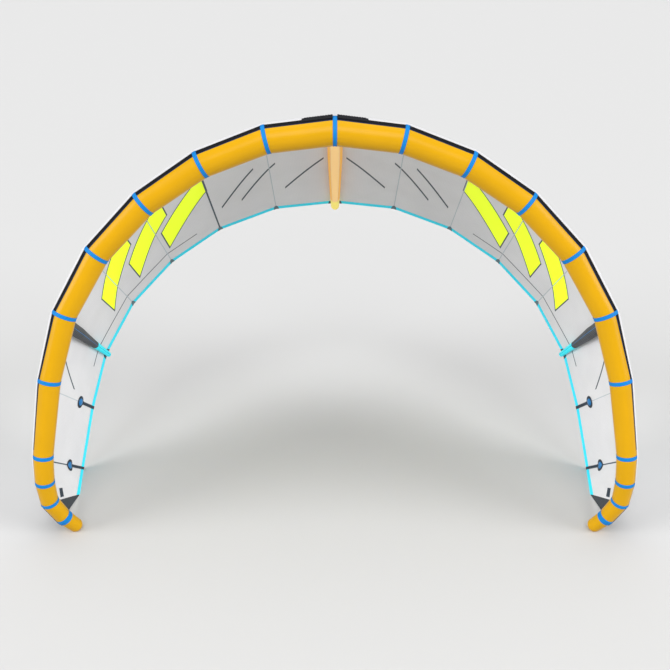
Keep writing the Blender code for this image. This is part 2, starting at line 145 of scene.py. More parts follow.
def travelled(points: Array) -> Array:
    """The distance from the first row of a grid of points to each row, down every column."""
    steps = np.linalg.norm(np.diff(points, axis=0), axis=-1)
    return np.concatenate([np.zeros_like(steps[:1]), np.cumsum(steps, axis=0)])


def cloth_map(across: Array, along: Array) -> Array:
    """The cloth map's places, from two arrays that broadcast to one grid."""
    return np.stack(np.broadcast_arrays(across, along), axis=-1)


def quads(index: Array) -> Array:
    """The faces of a grid of point numbers, four corners a row."""
    corners = index[:-1, :-1], index[:-1, 1:], index[1:, 1:], index[1:, :-1]
    return np.stack(corners, axis=-1).reshape(-1, 4)


class KiteForm:
    """The kite's lines and surfaces, laid out level and then turned nose-up onto the ground."""

    FRONT_HANDLE, REAR_HANDLE, REAR_SLOPE = 0.22, 0.42, 10.0
    BULGE_FROM, BULGE_FULL, BULGE_FADE = 0.02, 0.35, 0.60
    STAND_OFF = 0.8 * MM  # the canopy's inner face from the tube where it leaves it
    STEP = 1e-3  # of the place or the value along a rib, where a direction is measured

    def __init__(self, middle: Array) -> None:
        """Works the lines out.

        Args:
            middle: where the middle of the leading-edge tube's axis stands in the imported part.
        """
        self.middle = middle
        self.pitch = math.radians(NOSE_UP)
        length = np.array([row.run for row in STATIONS])
        fall, sweep = np.radians([(row.fall, row.sweep) for row in STATIONS]).T
        level = length * np.cos(sweep)
        steps = np.stack([level * np.cos(fall), length * np.sin(sweep), -level * np.sin(fall)], axis=1)
        self.centre = np.cumsum(steps, axis=0)
        self.radius = np.array([row.tube for row in STATIONS]) / 2
        self.tube_length = np.cumsum(length)
        self.rear = self._trailing_edge()
        self.aft, self.outward = self._tube_axes(steps)
        self.handles = self._rib_handles()
        self.bulge = self._bulge_heights()

    def _rib_end(self, seam: int) -> Array:
        """Where the straight line of a rib meets the trailing edge."""
        row = STATIONS[seam]
        slope = math.radians((row.fall + STATIONS[seam + 1].fall) / 2) if seam else 0.0
        inward = np.array([-math.sin(slope), 0.0, -math.cos(slope)])
        along = np.array([math.cos(slope), 0.0, -math.sin(slope)])
        toe, splay = math.tan(math.radians(row.toe)), math.tan(math.radians(row.splay))
        return self.centre[seam] + row.chord * unit(np.array([0, 1, 0]) + toe * inward + splay * along)

    def _trailing_edge(self) -> Array:
        """The rear end of each rib. The wingtip's rear edge is straight, up to one shared corner."""
        ends = [self._rib_end(seam) for seam in range(LAST_RIB + 1)]
        corner = self._rib_end(TIP_RIB)
        return np.array(ends + [(ends[-1] + corner) / 2, corner, corner, corner])

    def _tube_axes(self, steps: Array) -> tuple[Array, Array]:
        """The backward and the outward direction square to the tube at each seam."""
        forward = unit(steps[1:])
        along = unit(forward + np.concatenate([-forward[:1] * MIRROR, forward[:-1]]))
        along = np.concatenate([along, forward[-1:]])
        outward = unit(np.cross(along, unit(self.rear - self.centre)))
        return np.cross(outward, along), outward

    def _rib_handles(self) -> Array:
        """The four control points of each rib's cubic, from the tube to the trailing edge."""
        front = self.on_tube(np.arange(len(STATIONS)), CANOPY_ANGLE, self.STAND_OFF)
        line = self.rear - self.centre
        chord, back, out = np.linalg.norm(line, axis=1)[:, None], unit(line), self.outward
        leave = math.tan(math.radians(90 - CANOPY_ANGLE))
        rise = leave * (back * self.aft).sum(axis=1)[:, None]
        slope = math.radians(self.REAR_SLOPE)
        first = front + self.FRONT_HANDLE * chord * unit(back + rise * out)
        second = self.rear + self.REAR_HANDLE * chord * (math.sin(slope) * out - math.cos(slope) * back)
        return np.stack([front, first, second, self.rear], axis=1)

    def _bulge_heights(self) -> Array:
        """How far the cloth arches out midway between two seams: an eighth of width times turn."""
        kink = np.diff(np.radians([0.0] + [row.fall for row in STATIONS[1 : LAST_RIB + 2]]))
        kink[0] *= 2
        width = np.array([row.run for row in STATIONS[1 : LAST_RIB + 1]])
        heights = width * (kink[:-1] + kink[1:]) / 2 / 8
        return np.concatenate([heights, np.zeros(len(STATIONS) - LAST_RIB)])

    def on_tube(self, place: Array, angle: Array, off: Array = 0.0) -> Array:
        """Points on the leading-edge tube: circles at the seams, joined by straight lines.

        Args:
            place: places along the span.
            angle: angles round the tube.
            off: distance off the tube's surface.

        Returns:
            The points, in the level frame.
        """
        place, angle, off = np.broadcast_arrays(np.asarray(place, float), angle, off)
        seam = np.minimum(np.abs(place).astype(int), LAST_SEAM)
        turn = np.radians(angle)[..., None]
        ends = []
        for at in (seam, seam + 1):
            way = np.sin(turn) * self.outward[at] - np.cos(turn) * self.aft[at]
            ends.append(self.centre[at] + (self.radius[at] + off)[..., None] * way)
        share = (np.abs(place) - seam)[..., None]
        points = ends[0] * (1 - share) + ends[1] * share
        points[..., 0] *= np.where(place < 0, -1.0, 1.0)
        return points

    def skin(self, place: Array, along: Array) -> Array:
        """Points on the canopy's inner face: cubic ribs, joined by straight lines and an arch.

        The arch grows behind the tube and dies out again towards the straight trailing edge.

        Args:
            place: places along the span.
            along: values along the ribs.

        Returns:
            The points, in the level frame.
        """
        place, along = np.broadcast_arrays(np.asarray(place, float), np.asarray(along, float))
        seam = np.minimum(np.abs(place).astype(int), LAST_SEAM)
        share = np.abs(place) - seam
        rest = 1 - along
        weights = np.stack([rest**3, 3 * rest**2 * along, 3 * rest * along**2, along**3], axis=-1)
        ribs = [(weights[..., None] * self.handles[at]).sum(axis=-2) for at in (seam, seam + 1)]
        arch = self.bulge[seam] * 4 * share * (1 - share)
        arch = arch * smooth_step(along, self.BULGE_FROM, self.BULGE_FULL)
        arch = arch * (1 - smooth_step(along, self.BULGE_FADE, 1.0))
        out = unit(self.outward[seam] + self.outward[seam + 1])
        points = ribs[0] * (1 - share)[..., None] + ribs[1] * share[..., None] + arch[..., None] * out
        points[..., 0] *= np.where(place < 0, -1.0, 1.0)
        return points

    def skin_normal(self, place: Array, along: Array) -> Array:
        """The outward direction square to the canopy, from small steps across and back."""
        place, along = np.broadcast_arrays(np.asarray(place, float), np.asarray(along, float))
        across = self.skin(place + self.STEP, along) - self.skin(place - self.STEP, along)
        before, behind = np.maximum(along - self.STEP, 0), np.minimum(along + self.STEP, 1)
        return unit(np.cross(across, self.skin(place, behind) - self.skin(place, before)))

    def off_skin(self, place: Array, along: Array, off: Array) -> Array:
        """Points this far outside the canopy's inner face, square to it."""
        return self.skin(place, along) + np.asarray(off)[..., None] * self.skin_normal(place, along)

    def rear_speed(self, place: Array) -> Array:
        """Metres of cloth for each unit along a rib near the trailing edge: the cubic's speed."""
        lengths = np.linalg.norm(self.rear - self.centre, axis=1)
        return 3 * self.REAR_HANDLE * np.interp(np.abs(place), np.arange(len(STATIONS)), lengths)

    def before_edge(self, place: Array, distance: Array) -> Array:
        """The value along the rib at this distance before the trailing edge."""
        return 1 - distance / self.rear_speed(place)

    def from_middle(self, place: Array) -> Array:
        """The length of tube from the middle to a place, negative on the left."""
        return np.sign(place) * np.interp(np.abs(place), np.arange(len(STATIONS)), self.tube_length)

    def place_at(self, distance: Array) -> Array:
        """The place at a length of tube from the middle."""
        return np.sign(distance) * np.interp(np.abs(distance), self.tube_length, np.arange(len(STATIONS)))

    def beside(self, seam: int, distance: Array) -> Array:
        """The places at these distances from a seam, negative ones on its left."""
        inner, outer = STATIONS[max(abs(seam), 1)].run, STATIONS[abs(seam) + 1].run
        left, right = (inner, outer) if seam > 0 else (outer, inner)
        return seam + distance / np.where(distance < 0, left, right)

    def around(self, seam: int, along: Array, across: Array, square: Array) -> tuple[Array, Array]:
        """Finds the skin beside a rib: which places and values along it lie straight across it.

        A small step of the place leads across the rib and a little along it, because neighbouring
        ribs are neither parallel nor equally long. The step is measured on both of its sides.

        Args:
            seam: the rib's seam.
            along: values along the rib, one a row.
            across: distances from it, negative on its left, rows by columns.
            square: for each row 1 if it runs square to the rib and 0 if along its neighbours' rows.

        Returns:
            The places, and the values along the ribs there.
        """
        here = self.skin(float(seam), along)
        back = (self.skin(float(seam), along + self.STEP) - here) / self.STEP
        speed = np.linalg.norm(back, axis=-1)
        back = unit(back)
        width, slide = [], []
        for way in (-self.STEP, self.STEP):
            move = (self.skin(seam + way, along) - here) / self.STEP
            slip = (move * back).sum(axis=-1)
            width.append(np.linalg.norm(move - slip[..., None] * back, axis=-1)[:, None])
            slide.append(slip[:, None])
        change = across / np.where(across < 0, *width)
        slip = np.abs(change) * np.where(across < 0, *slide)
        return seam + change, along[:, None] - slip * (square / speed)[:, None]

    def panel_map(self, places: Array, grid: Array, behind: float = 0.0) -> Array:
        """A panel's cloth map: distance from the middle, and along the cloth to what is behind it."""
        return cloth_map(self.from_middle(places), travelled(grid[::-1])[::-1] + behind)

    def standing(self, points: Array) -> Array:
        """Turns points of the level frame nose-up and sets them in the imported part's frame."""
        cosine, sine = math.cos(self.pitch), math.sin(self.pitch)
        x, y, z = np.moveaxis(points, -1, 0)
        return np.stack([x, y * cosine + z * sine, z * cosine - y * sine], axis=-1) + self.middle


def linear(code: str) -> tuple[float, float, float, float]:
    """The linear colour of an sRGB hex value such as "#F2B10A"."""
    srgb = np.array([int(code[at : at + 2], 16) for at in (1, 3, 5)]) / 255
    value = np.where(srgb <= 0.04045, srgb / 12.92, ((srgb + 0.055) / 1.055) ** 2.4)
    return (*value.tolist(), 1.0)


def add_node(tree: Tree, kind: str, inputs: dict | None = None, **settings) -> Node:
    """Adds one node.

    Args:
        tree: the material's node tree.
        kind: the node's type, without its "ShaderNode" prefix.
        inputs: a value or an output socket for each input, by name or number.
        settings: the node's own properties.

    Returns:
        The node.
    """
    node = tree.nodes.new("ShaderNode" + kind)
    for name, value in settings.items():
        setattr(node, name, value)
    for name, value in (inputs or {}).items():
        if isinstance(value, Socket):
            tree.links.new(value, node.inputs[name])
        else:
            node.inputs[name].default_value = value
    return node


def add_math(tree: Tree, operation: str, *values: object) -> Socket:
    """The result of one Math node on numbers or sockets."""
    return add_node(tree, "Math", dict(enumerate(values)), operation=operation).outputs[0]


def add_ramp(tree: Tree, value: Socket, low: float, high: float, start: float = 0.0,
             stop: float = 1.0) -> Socket:
    """The value carried from the range low to high onto the range start to stop, and held there."""
    limits = {"Value": value, "From Min": low, "From Max": high, "To Min": start, "To Max": stop}
    return add_node(tree, "MapRange", limits).outputs[0]


def add_mix(tree: Tree, share: Socket, below: object, above: object) -> Socket:
    """One colour laid over another by a Mix node, whose colour sockets are numbers 6 and 7."""
    return add_node(tree, "Mix", {0: share, 6: below, 7: above}, data_type="RGBA").outputs[2]


class Axis(Enum):
    """Which way a stripe's distance is measured on a piece's cloth map."""

    ALONG = "X"
    ACROSS = "Y"


@dataclass(frozen=True)
class Stripe:
    """A printed, taped or stitched line: at a distance on one axis, once or at every pitch."""

    axis: Axis
    at: float
    width: float
    colour: str
    every: float = 0.0
    strength: float = 1.0
    soft: float = 0.15  # the border that fades, as a share of half the width

    def cover(self, tree: Tree, place: Node) -> Socket:
        """1 on the line and 0 beside it: the distance to it, clipped with a soft border."""
        distance = add_math(tree, "SUBTRACT", place.outputs[self.axis.value], self.at)
        if self.every:
            distance = add_math(tree, "PINGPONG", distance, self.every / 2)
        else:
            distance = add_math(tree, "ABSOLUTE", distance)
        half = self.width / 2
        return add_ramp(tree, distance, half * (1 + self.soft), half * (1 - self.soft), 0.0, self.strength)


@dataclass(frozen=True)
class ClothFinish:
    """A woven and coated cloth, tape or webbing.

    thread is the spacing of the threads that show, relief their height, mottle how much the
    colour varies over a hand's width, and sheen the soft light edge that a woven face has. The
    emission strength is painted light: the cloth shines in its own colour, in place of the daylight
    that a thin cloth lets pass from behind it.
    """

    name: str
    colour: str
    roughness: float = 0.5
    thread: float = 3.0 * MM
    relief: float = 0.05 * MM
    mottle: float = 0.05
    sheen: float = 0.0
    sheen_tint: str = "#FFFFFF"
    gloss: float = 0.3
    coat: float = 0.0
    # painted light: the strength of an emission in place of daylight that a thin cloth lets pass
    painted_glow: float = 0.0
    stripes: tuple[Stripe, ...] = ()

    def shade(self, tree: Tree, place: Node) -> Socket:
        """The cloth's colour: its dye, a little uneven, with each stripe laid over it."""
        where = add_node(tree, "TexCoord").outputs["Object"]
        patches = add_node(tree, "TexNoise", {"Vector": where, "Scale": 5.0, "Detail": 3.0}).outputs["Fac"]
        value = add_ramp(tree, patches, 0.3, 0.7, 1 - self.mottle, 1 + self.mottle)
        dye = {"Color": linear(self.colour), "Value": value}
        colour = add_node(tree, "HueSaturation", dye).outputs["Color"]
        for stripe in self.stripes:
            colour = add_mix(tree, stripe.cover(tree, place), colour, linear(stripe.colour))
        return colour

    def light(self, tree: Tree, place: Node, colour: Socket) -> Socket:
        """The colour of the painted light that the cloth gives off: the cloth's own."""
        return colour

    def build(self) -> bpy.types.Material:
        """Makes the material: the shade, and a plain weave of two crossed waves as relief.

        Returns:
            The material.
        """
        material = bpy.data.materials.new(self.name)
        material.use_nodes = True
        tree = material.node_tree
        shader = tree.nodes["Principled BSDF"]
        cloth = add_node(tree, "UVMap", uv_map="cloth").outputs["UV"]
        place = add_node(tree, "SeparateXYZ", {"Vector": cloth})
        colour = self.shade(tree, place)
        tree.links.new(colour, shader.inputs["Base Color"])
        # painted light: the cloth shines in its own colour, where no lamp is
        if self.painted_glow:
            tree.links.new(self.light(tree, place, colour), shader.inputs["Emission Color"])
        wave = {"Vector": cloth, "Scale": math.pi / 10 / self.thread}  # it turns 20 times its scale a unit
        waves = [add_node(tree, "TexWave", wave, bands_direction=way).outputs["Fac"] for way in "XY"]
        weave = add_math(tree, "MULTIPLY", *waves)
        bump = add_node(tree, "Bump", {"Height": weave, "Distance": self.relief, "Strength": 0.6})
        tree.links.new(bump.outputs["Normal"], shader.inputs["Normal"])
        # the emission strength is painted light
        fixed = {
            "Roughness": self.roughness, "Specular IOR Level": self.gloss, "Emission Strength": self.painted_glow,
            "Sheen Weight": self.sheen, "Sheen Roughness": 0.25, "Sheen Tint": linear(self.sheen_tint),
            "Coat Weight": self.coat, "Coat Roughness": 0.25,
        }
        for name, value in fixed.items():
            shader.inputs[name].default_value = value
        return material


@dataclass(frozen=True)
class Bar:
    """A plain slanted bar printed on the canopy.

    u is its middle's distance from the kite's middle and v from the trailing edge. half_run is
    half its extent along the span, width its width and slope its slant. Its ends follow the ribs.
    """

    u: float
    v: float
    half_run: float
    width: float
    slope: float

    def distance(self, tree: Tree, place: Node) -> Socket:
        """How far a point is outside the bar, and less than 0 inside it."""
        across = add_math(tree, "SUBTRACT", place.outputs["X"], self.u)
        up = add_math(tree, "SUBTRACT", place.outputs["Y"], self.v)
        turn = math.radians(self.slope)
        tilted = add_math(tree, "MULTIPLY", up, math.cos(turn))
        square = add_math(tree, "MULTIPLY_ADD", across, -math.sin(turn), tilted)
        beside = add_math(tree, "SUBTRACT", add_math(tree, "ABSOLUTE", square), self.width / 2)
        beyond = add_math(tree, "SUBTRACT", add_math(tree, "ABSOLUTE", across), self.half_run)
        return add_math(tree, "MAXIMUM", beside, beyond)


def both_halves(bars: tuple[Bar, ...]) -> tuple[Bar, ...]:
    """The bars of the kite's right half, and their mirror images on its left."""
    return bars + tuple(replace(bar, u=-bar.u, slope=-bar.slope) for bar in bars)


@dataclass(frozen=True)
class CanopyFinish(ClothFinish):
    """Ripstop canopy cloth: light grey, a faint grid of thicker threads, and plain printed bars."""

    bars: tuple[Bar, ...] = ()
    lines: tuple[Bar, ...] = ()
    neon: str = "#E8FF1E"
    slate: str = "#36424D"
    outline: float = 9.0 * MM
    painted_light_share: float = 0.3  # painted light on the plain cloth, in place of daylight that it lets pass, as a share of the bars'
    soft: float = 1.5 * MM

    def cover(self, tree: Tree, place: Node, shapes: tuple[Bar, ...], reach: float) -> Socket:
        """1 up to this far outside any of the shapes, and 0 beyond a soft border."""
        nearest = shapes[0].distance(tree, place)
        for shape in shapes[1:]:
            nearest = add_math(tree, "MINIMUM", nearest, shape.distance(tree, place))
        return add_ramp(tree, nearest, reach + self.soft, reach - self.soft)

    def shade(self, tree: Tree, place: Node) -> Socket:
        """The plain cloth, then the thin lines, then the bars' outlines, and then the bars."""
        colour = super().shade(tree, place)
        prints = (
            (self.lines, 0.0, self.slate),
            (self.bars, self.outline, self.slate),
            (self.bars, 0.0, self.neon),
        )
        for shapes, reach, ink in prints:
            colour = add_mix(tree, self.cover(tree, place, shapes, reach), colour, linear(ink))
        return colour

    def light(self, tree: Tree, place: Node, colour: Socket) -> Socket:
        """The painted light: full on the bars' fluorescent ink, and a share of it on the rest of the cloth.
        """
        # painted light: emission on the bars, and a weaker one on the plain cloth
        level = add_ramp(tree, self.cover(tree, place, self.bars, 0.0), 0.0, 1.0, self.painted_light_share)
        return add_mix(tree, level, linear("#000000"), colour)


@dataclass(frozen=True)
class Layer:
    """A sheet of cloth: its inner and outer points, and the cloth map's place at each.

    The grids' columns run left to right and their rows backwards.
    """

    inner: Array
    outer: Array
    cloth: Array


@dataclass(frozen=True)
class Item:
    """What a piece is called and made of, the record's material slot, which is not used, and the nodes it
    stands for.
    """

    name: str
    finish: ClothFinish
    slot: str
    nodes: tuple[str, ...] = ()


class Workshop:
    """Turns grids of points into closed pieces of the kite."""

    SHARP = math.radians(50)

    def __init__(self, form: KiteForm) -> None:
        """Keeps the kite's form, and starts a collection and a store of materials."""
        self.form = form
        self.collection = bpy.data.collections.new("kite looks")
        bpy.context.scene.collection.children.link(self.collection)
        self.materials: dict[str, bpy.types.Material] = {}

    def material(self, finish: ClothFinish) -> bpy.types.Material:
        """The finish's material, made once."""
        if finish.name not in self.materials:
            self.materials[finish.name] = finish.build()
        return self.materials[finish.name]

    def piece(self, item: Item, points: Array, faces: Array, cloth: Array) -> bpy.types.Object:
        """Makes one finished piece from points in the level frame.

        Args:
            item: what it is.
            points: its points, one row each.
            faces: four point numbers a row. A number's second place in a row is left out: a triangle.
            cloth: the cloth map's place for each corner of each face.

        Returns:
            The object, riding on the root.
        """
        placed = self.form.standing(points)
        placed[:, 2] = np.maximum(placed[:, 2], 0.0)
        keep = ~np.triu(faces[:, :, None] == faces[:, None], 1).any(axis=1)
        sizes = keep.sum(axis=1).astype(np.int32)
        mesh = bpy.data.meshes.new(item.name)
        mesh.vertices.add(len(placed))
        mesh.vertices.foreach_set("co", placed.astype(np.float32).ravel())
        mesh.loops.add(int(sizes.sum()))
        mesh.loops.foreach_set("vertex_index", faces[keep].astype(np.int32))
        mesh.polygons.add(len(faces))
        mesh.polygons.foreach_set("loop_start", np.cumsum(sizes, dtype=np.int32) - sizes)
        mesh.polygons.foreach_set("loop_total", sizes)
        mesh.update(calc_edges=True)
        layer = mesh.uv_layers.new(name="cloth")
        layer.data.foreach_set("uv", cloth[keep].astype(np.float32).ravel())
        mesh.materials.append(self.material(item.finish))
        mesh.shade_smooth()
        mesh.set_sharp_from_angle(angle=self.SHARP)
        made = bpy.data.objects.new(item.name, mesh)
        self.collection.objects.link(made)
        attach(made, "root")
        if item.nodes:
            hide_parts(*item.nodes)
        LOG.info("%s: %d faces, %s", item.name, len(faces), item.finish.name)
        return made

    def layers(self, item: Item, *layers: Layer) -> bpy.types.Object:
        """Makes one piece of closed sheets, each with a strip of faces round its border.

        Args:
            item: what it is.
            layers: its sheets.

        Returns:
            The object.
        """
        points, faces, cloth, start = [], [], [], 0
        for layer in layers:
            count = layer.inner[..., 0].size
            index = np.arange(count).reshape(layer.inner.shape[:2])
            sides = index[0, :-1], index[:-1, -1], index[-1, :0:-1], index[:0:-1, 0]
            border = np.concatenate([*sides, index[0, :1]])
            rim = quads(np.stack([border, border + count]))
            shell = np.concatenate([quads(index)[:, ::-1], quads(index) + count, rim])
            points.append(np.concatenate([layer.inner, layer.outer]).reshape(-1, 3))
            cloth.append(np.concatenate([layer.cloth, layer.cloth]).reshape(-1, 2)[shell])
            faces.append(shell + start)
            start += 2 * count
        return self.piece(item, *map(np.concatenate, (points, faces, cloth)))

    def sheet(self, item: Item, layer: Layer) -> None:
        self.layers(item, layer)

    def tube(self, item: Item, rings: Array, poles: Array, cloth: Array) -> None:
        """Makes a closed, inflated piece from rings of points, with a point that closes each end.

        Args:
            item: what it is.
            rings: points, by ring and then round it, anticlockwise as seen from the last ring.
            poles: the first and the last point.
            cloth: the cloth map's place at each ring point and once more where the ring closes.
        """
        count, sides = rings.shape[:2]
        index = np.arange(count * sides).reshape(count, sides)
        first, last = np.full((1, sides), index.size), np.full((1, sides), index.size + 1)
        index = np.concatenate([first, index, last])
        index = np.concatenate([index, index[:, :1]], axis=1)
        maps = np.concatenate([cloth[:1], cloth, cloth[-1:]]).reshape(-1, 2)
        corners = quads(np.arange(index.size).reshape(index.shape).T)
        points = np.concatenate([rings.reshape(-1, 3), poles])
        self.piece(item, points, quads(index.T), maps[corners])


# Tightly woven polyester with a thin film: an even golden dye, a broad soft gloss, a pale edge.
TUBE_CLOTH = ClothFinish("laminated polyester, yellow", "#C29106", 0.32, mottle=0.025, sheen=0.05,
                         sheen_tint="#FFF0B0", gloss=0.15)
# Woven nylon tape folded over each seam: satin, darker at its two stitched edges.
RING_TAPE = ClothFinish("nylon tape, azure", "#0E78C0", 0.5, thread=1.5 * MM, relief=0.12 * MM, gloss=0.12,
                        stripes=(Stripe(Axis.ALONG, 0.0, 1.6 * MM, "#0F639A"),
                                 Stripe(Axis.ALONG, 9.5 * MM, 2.2 * MM, "#125FA8"),
                                 Stripe(Axis.ALONG, -9.5 * MM, 2.2 * MM, "#125FA8")))
# Black woven polyester strip, matt, with a navy binding along its lower edge.
SEAM_STRIP = ClothFinish("polyester strip, black", "#0A0C12", 0.75, thread=2.0 * MM, relief=0.15 * MM,
                         gloss=0.15, stripes=(Stripe(Axis.ACROSS, 0.0, 9.0 * MM, "#122C4C"),))
# Moulded rubber, ribbed across, dull and a little dusty.
PAD_RUBBER = ClothFinish("moulded rubber, black", "#15161A", 0.7, thread=5.0 * MM, mottle=0.12, gloss=0.2)
# Polyester ripstop: thin, light grey, with a grid of doubled threads. The real grid is 5 mm; it is
# drawn at 10 mm so that it shows. Painted light makes the bars' fluorescent ink shine, and a
# weaker painted light brightens the rest of the cloth.
RIPSTOP = CanopyFinish(
    "polyester ripstop, light grey", "#D7D7DA", 0.58, thread=2.5 * MM, relief=0.04 * MM, mottle=0.03,
    # painted light: emission on the bars, and a share of it on the plain cloth
    sheen=0.05, painted_glow=0.30, painted_light_share=0.08,
    stripes=tuple(Stripe(axis, 0.0, 1.2 * MM, "#C2C3C4", 10 * MM, 0.35) for axis in Axis),
    bars=both_halves(tuple(Bar(u, 0.60, 0.19, 0.165, -50.0) for u in (1.02, 1.32, 1.62))),
    lines=both_halves((
        *(Bar(u, 0.55, 0.13, 14 * MM, -58.0) for u in (0.20, 0.50, 0.64)),
        Bar(1.62, 0.17, 0.62, 10 * MM, 0.0),
        Bar(2.32, 0.60, 0.14, 12 * MM, -58.0),
    )),
)
# Heavier laminated cloth folded over the trailing edge, with a row of stitches along each border.
BAND_CLOTH = ClothFinish("laminated polyester, cyan", "#33E6FF", 0.5, mottle=0.03, gloss=0.15,
                         stripes=(Stripe(Axis.ACROSS, 42 * MM, 1.5 * MM, "#1FA0BC"),
                                  Stripe(Axis.ACROSS, 6 * MM, 1.2 * MM, "#B7F2FC")))
# The middle strut's thin sleeve: a panel underneath between two grey seams, orange at its
# sides, and yellow at its closed end. The panel is pale partly in its own colour and partly as a
# painted highlight, and the orange sides are partly painted shade. The sleeve also shines with
# painted light in place of daylight that it lets pass. Across a strut a stripe's place and width
# are shares of the way round, with a quarter underneath.
MIDDLE_STRUT_CLOTH = ClothFinish(
    # painted light: the sleeve gives off light of its own colour
    "laminated polyester, orange", "#FFB94E", mottle=0.03, sheen_tint="#FFE0A8", gloss=0.15, painted_glow=0.22,
    # partly painted highlight: the pale panel underneath, against the partly painted shade of the orange
    # sides
    stripes=(Stripe(Axis.ACROSS, 0.25, 0.22, "#FFD28C"), Stripe(Axis.ACROSS, 0.14, 0.012, "#B9A882"),
             Stripe(Axis.ACROSS, 0.36, 0.012, "#B9A882"), Stripe(Axis.ALONG, 1.68, 0.30, "#FFE978")),
)
# Charcoal sleeve with fine lengthwise ribs, and one blue seam underneath.
SIDE_STRUT_CLOTH = ClothFinish("laminated polyester, charcoal", "#4E5155", 0.55, mottle=0.06, gloss=0.2,
                               stripes=(Stripe(Axis.ACROSS, 0.0, 0.010, "#2E3135", 0.04),
                                        Stripe(Axis.ACROSS, 0.26, 0.010, "#2C7FC0")))
# Bright sleeve over the strut's end, with a little painted light in place of daylight that the thin cloth
# lets pass.
TAIL_CLOTH = ClothFinish("laminated polyester, bright cyan", "#2CEBFA", 0.45, mottle=0.02, gloss=0.2,
                         # painted light: a weak emission of the sleeve's own colour
                         painted_glow=0.06, stripes=(Stripe(Axis.ACROSS, 0.26, 0.020, "#1485B4"),))
# Seam tape: pale film over most seams, a slate one where the cloth is doubled.
PALE_TAPE = ClothFinish("seam tape, pale blue-grey", "#B3BDC3", relief=0.02 * MM)
SLATE_TAPE = ClothFinish("seam tape, slate", "#46535E", 0.55, relief=0.02 * MM)
# Batten pockets and webbing: dense dark weave, matt, with a row of stitches along each edge.
BATTEN_TAPE = ClothFinish("polyester webbing, slate", "#323B45", 0.66, thread=2.0 * MM, relief=0.15 * MM,
                          mottle=0.08, gloss=0.2, stripes=(Stripe(Axis.ALONG, 8 * MM, 1.2 * MM, "#596570"),
                                                           Stripe(Axis.ALONG, -8 * MM, 1.2 * MM, "#596570")))
# Moulded rubber, smooth, with a soft wet-looking light.
DOME_RUBBER = ClothFinish("moulded rubber, blue", "#1670AE", 0.35, relief=0.0, coat=0.2)
# Wingtip patch: charcoal cloth with fine lines of thread across it, and a cyan edge at its rear.
PATCH_CLOTH = ClothFinish("coated nylon, charcoal", "#43474C", 0.6, mottle=0.08, gloss=0.2,
                          stripes=(Stripe(Axis.ACROSS, 0.0, 1.5 * MM, "#2B2E33", 12 * MM),
                                   Stripe(Axis.ACROSS, 0.0, 5.0 * MM, "#39C7DD")))
# The small patches over the trailing edge: the same cloth, lighter, and darker beside the struts.
PATCH_GREY = ClothFinish("coated nylon, slate teal", "#5E7983", 0.6, mottle=0.06, gloss=0.2)
PATCH_DARK = ClothFinish("coated nylon, dark grey", "#4B565D", 0.6, mottle=0.06, gloss=0.2)


@dataclass
class LeadingEdge:
    """The inflated tube along the front: straight lengths, mitred at each seam."""

    shop: Workshop
    sides: int = 72
    pitch: float = 0.012  # of its rings of points
    pinch: float = 0.9 * MM  # how far each band draws the tube in
    pinch_reach: float = 0.028
    fold_height: float = 0.9 * MM  # of the small folds on the inner side of each bend
    fold_reach: float = 0.055
    fold_from: float = 0.3  # how far from the seam they are highest, as a share of their reach
    fold_count: int = 9
    dome_share: float = 0.85  # the closed end's length in radii
    dome_rows: int = 12

    def relief(self, place: Array, angle: Array) -> Array:
        """How far the surface stands off the straight tube.

        A bell curve draws it in at each seam. On the inner side of the bend, which is at 270
        degrees, a cosine round the tube raises folds that die out with the distance to the seam.

        Args:
            place: places along the span.
            angle: angles round the tube.

        Returns:
            The distance, less than 0 where it is drawn in.
        """
        form = self.shop.form
        nearest = np.round(np.abs(place))
        gap = form.from_middle(np.abs(place)) - form.from_middle(nearest)
        pinch = self.pinch * np.exp(-((gap / self.pinch_reach) ** 2))
        inner = np.clip(-np.sin(np.radians(angle)), 0, 1) ** 2
        wave = np.cos(np.radians(angle) * self.fold_count * 2 + nearest)
        fade = np.exp(-((np.abs(gap) / self.fold_reach - self.fold_from) ** 2))
        return (self.fold_height * inner * wave * fade - pinch) * (nearest <= LAST_SEAM)

    def build(self) -> None:
        """Makes the tube, with a quarter ellipse turned into a dome at each end."""
        form = self.shop.form
        total = form.tube_length[-1]
        distance = np.linspace(0, total, int(total / self.pitch))
        half = np.unique(np.concatenate([form.place_at(distance), np.arange(len(STATIONS))]))
        places = np.concatenate([-half[:0:-1], half])
        angles = np.arange(self.sides) * 360 / self.sides
        rings = form.on_tube(places[:, None], angles, self.relief(places[:, None], angles))
        turn = np.linspace(0, math.pi / 2, self.dome_rows + 1)[1:-1]
        end, reach = form.centre[-1], self.dome_share * form.radius[-1]
        way = unit(end - form.centre[-2])
        rim = form.on_tube(float(len(STATIONS) - 1), angles) - end
        bend = turn[:, None, None]
        dome = end + reach * np.sin(bend) * way + np.cos(bend) * rim
        tip = end + reach * way
        rings = np.concatenate([dome[::-1] * MIRROR, rings, dome])
        past = total + reach * np.sin(turn)
        along = np.concatenate([-past[::-1], form.from_middle(places), past])
        around = np.arange(self.sides + 1) / self.sides * 2 * math.pi * form.radius[0]
        item = Item("leading_edge_tube", TUBE_CLOTH, "tube_cloth", ("leading_edge",))
        self.shop.tube(item, rings, np.array([tip * MIRROR, tip]), cloth_map(along[:, None], around))


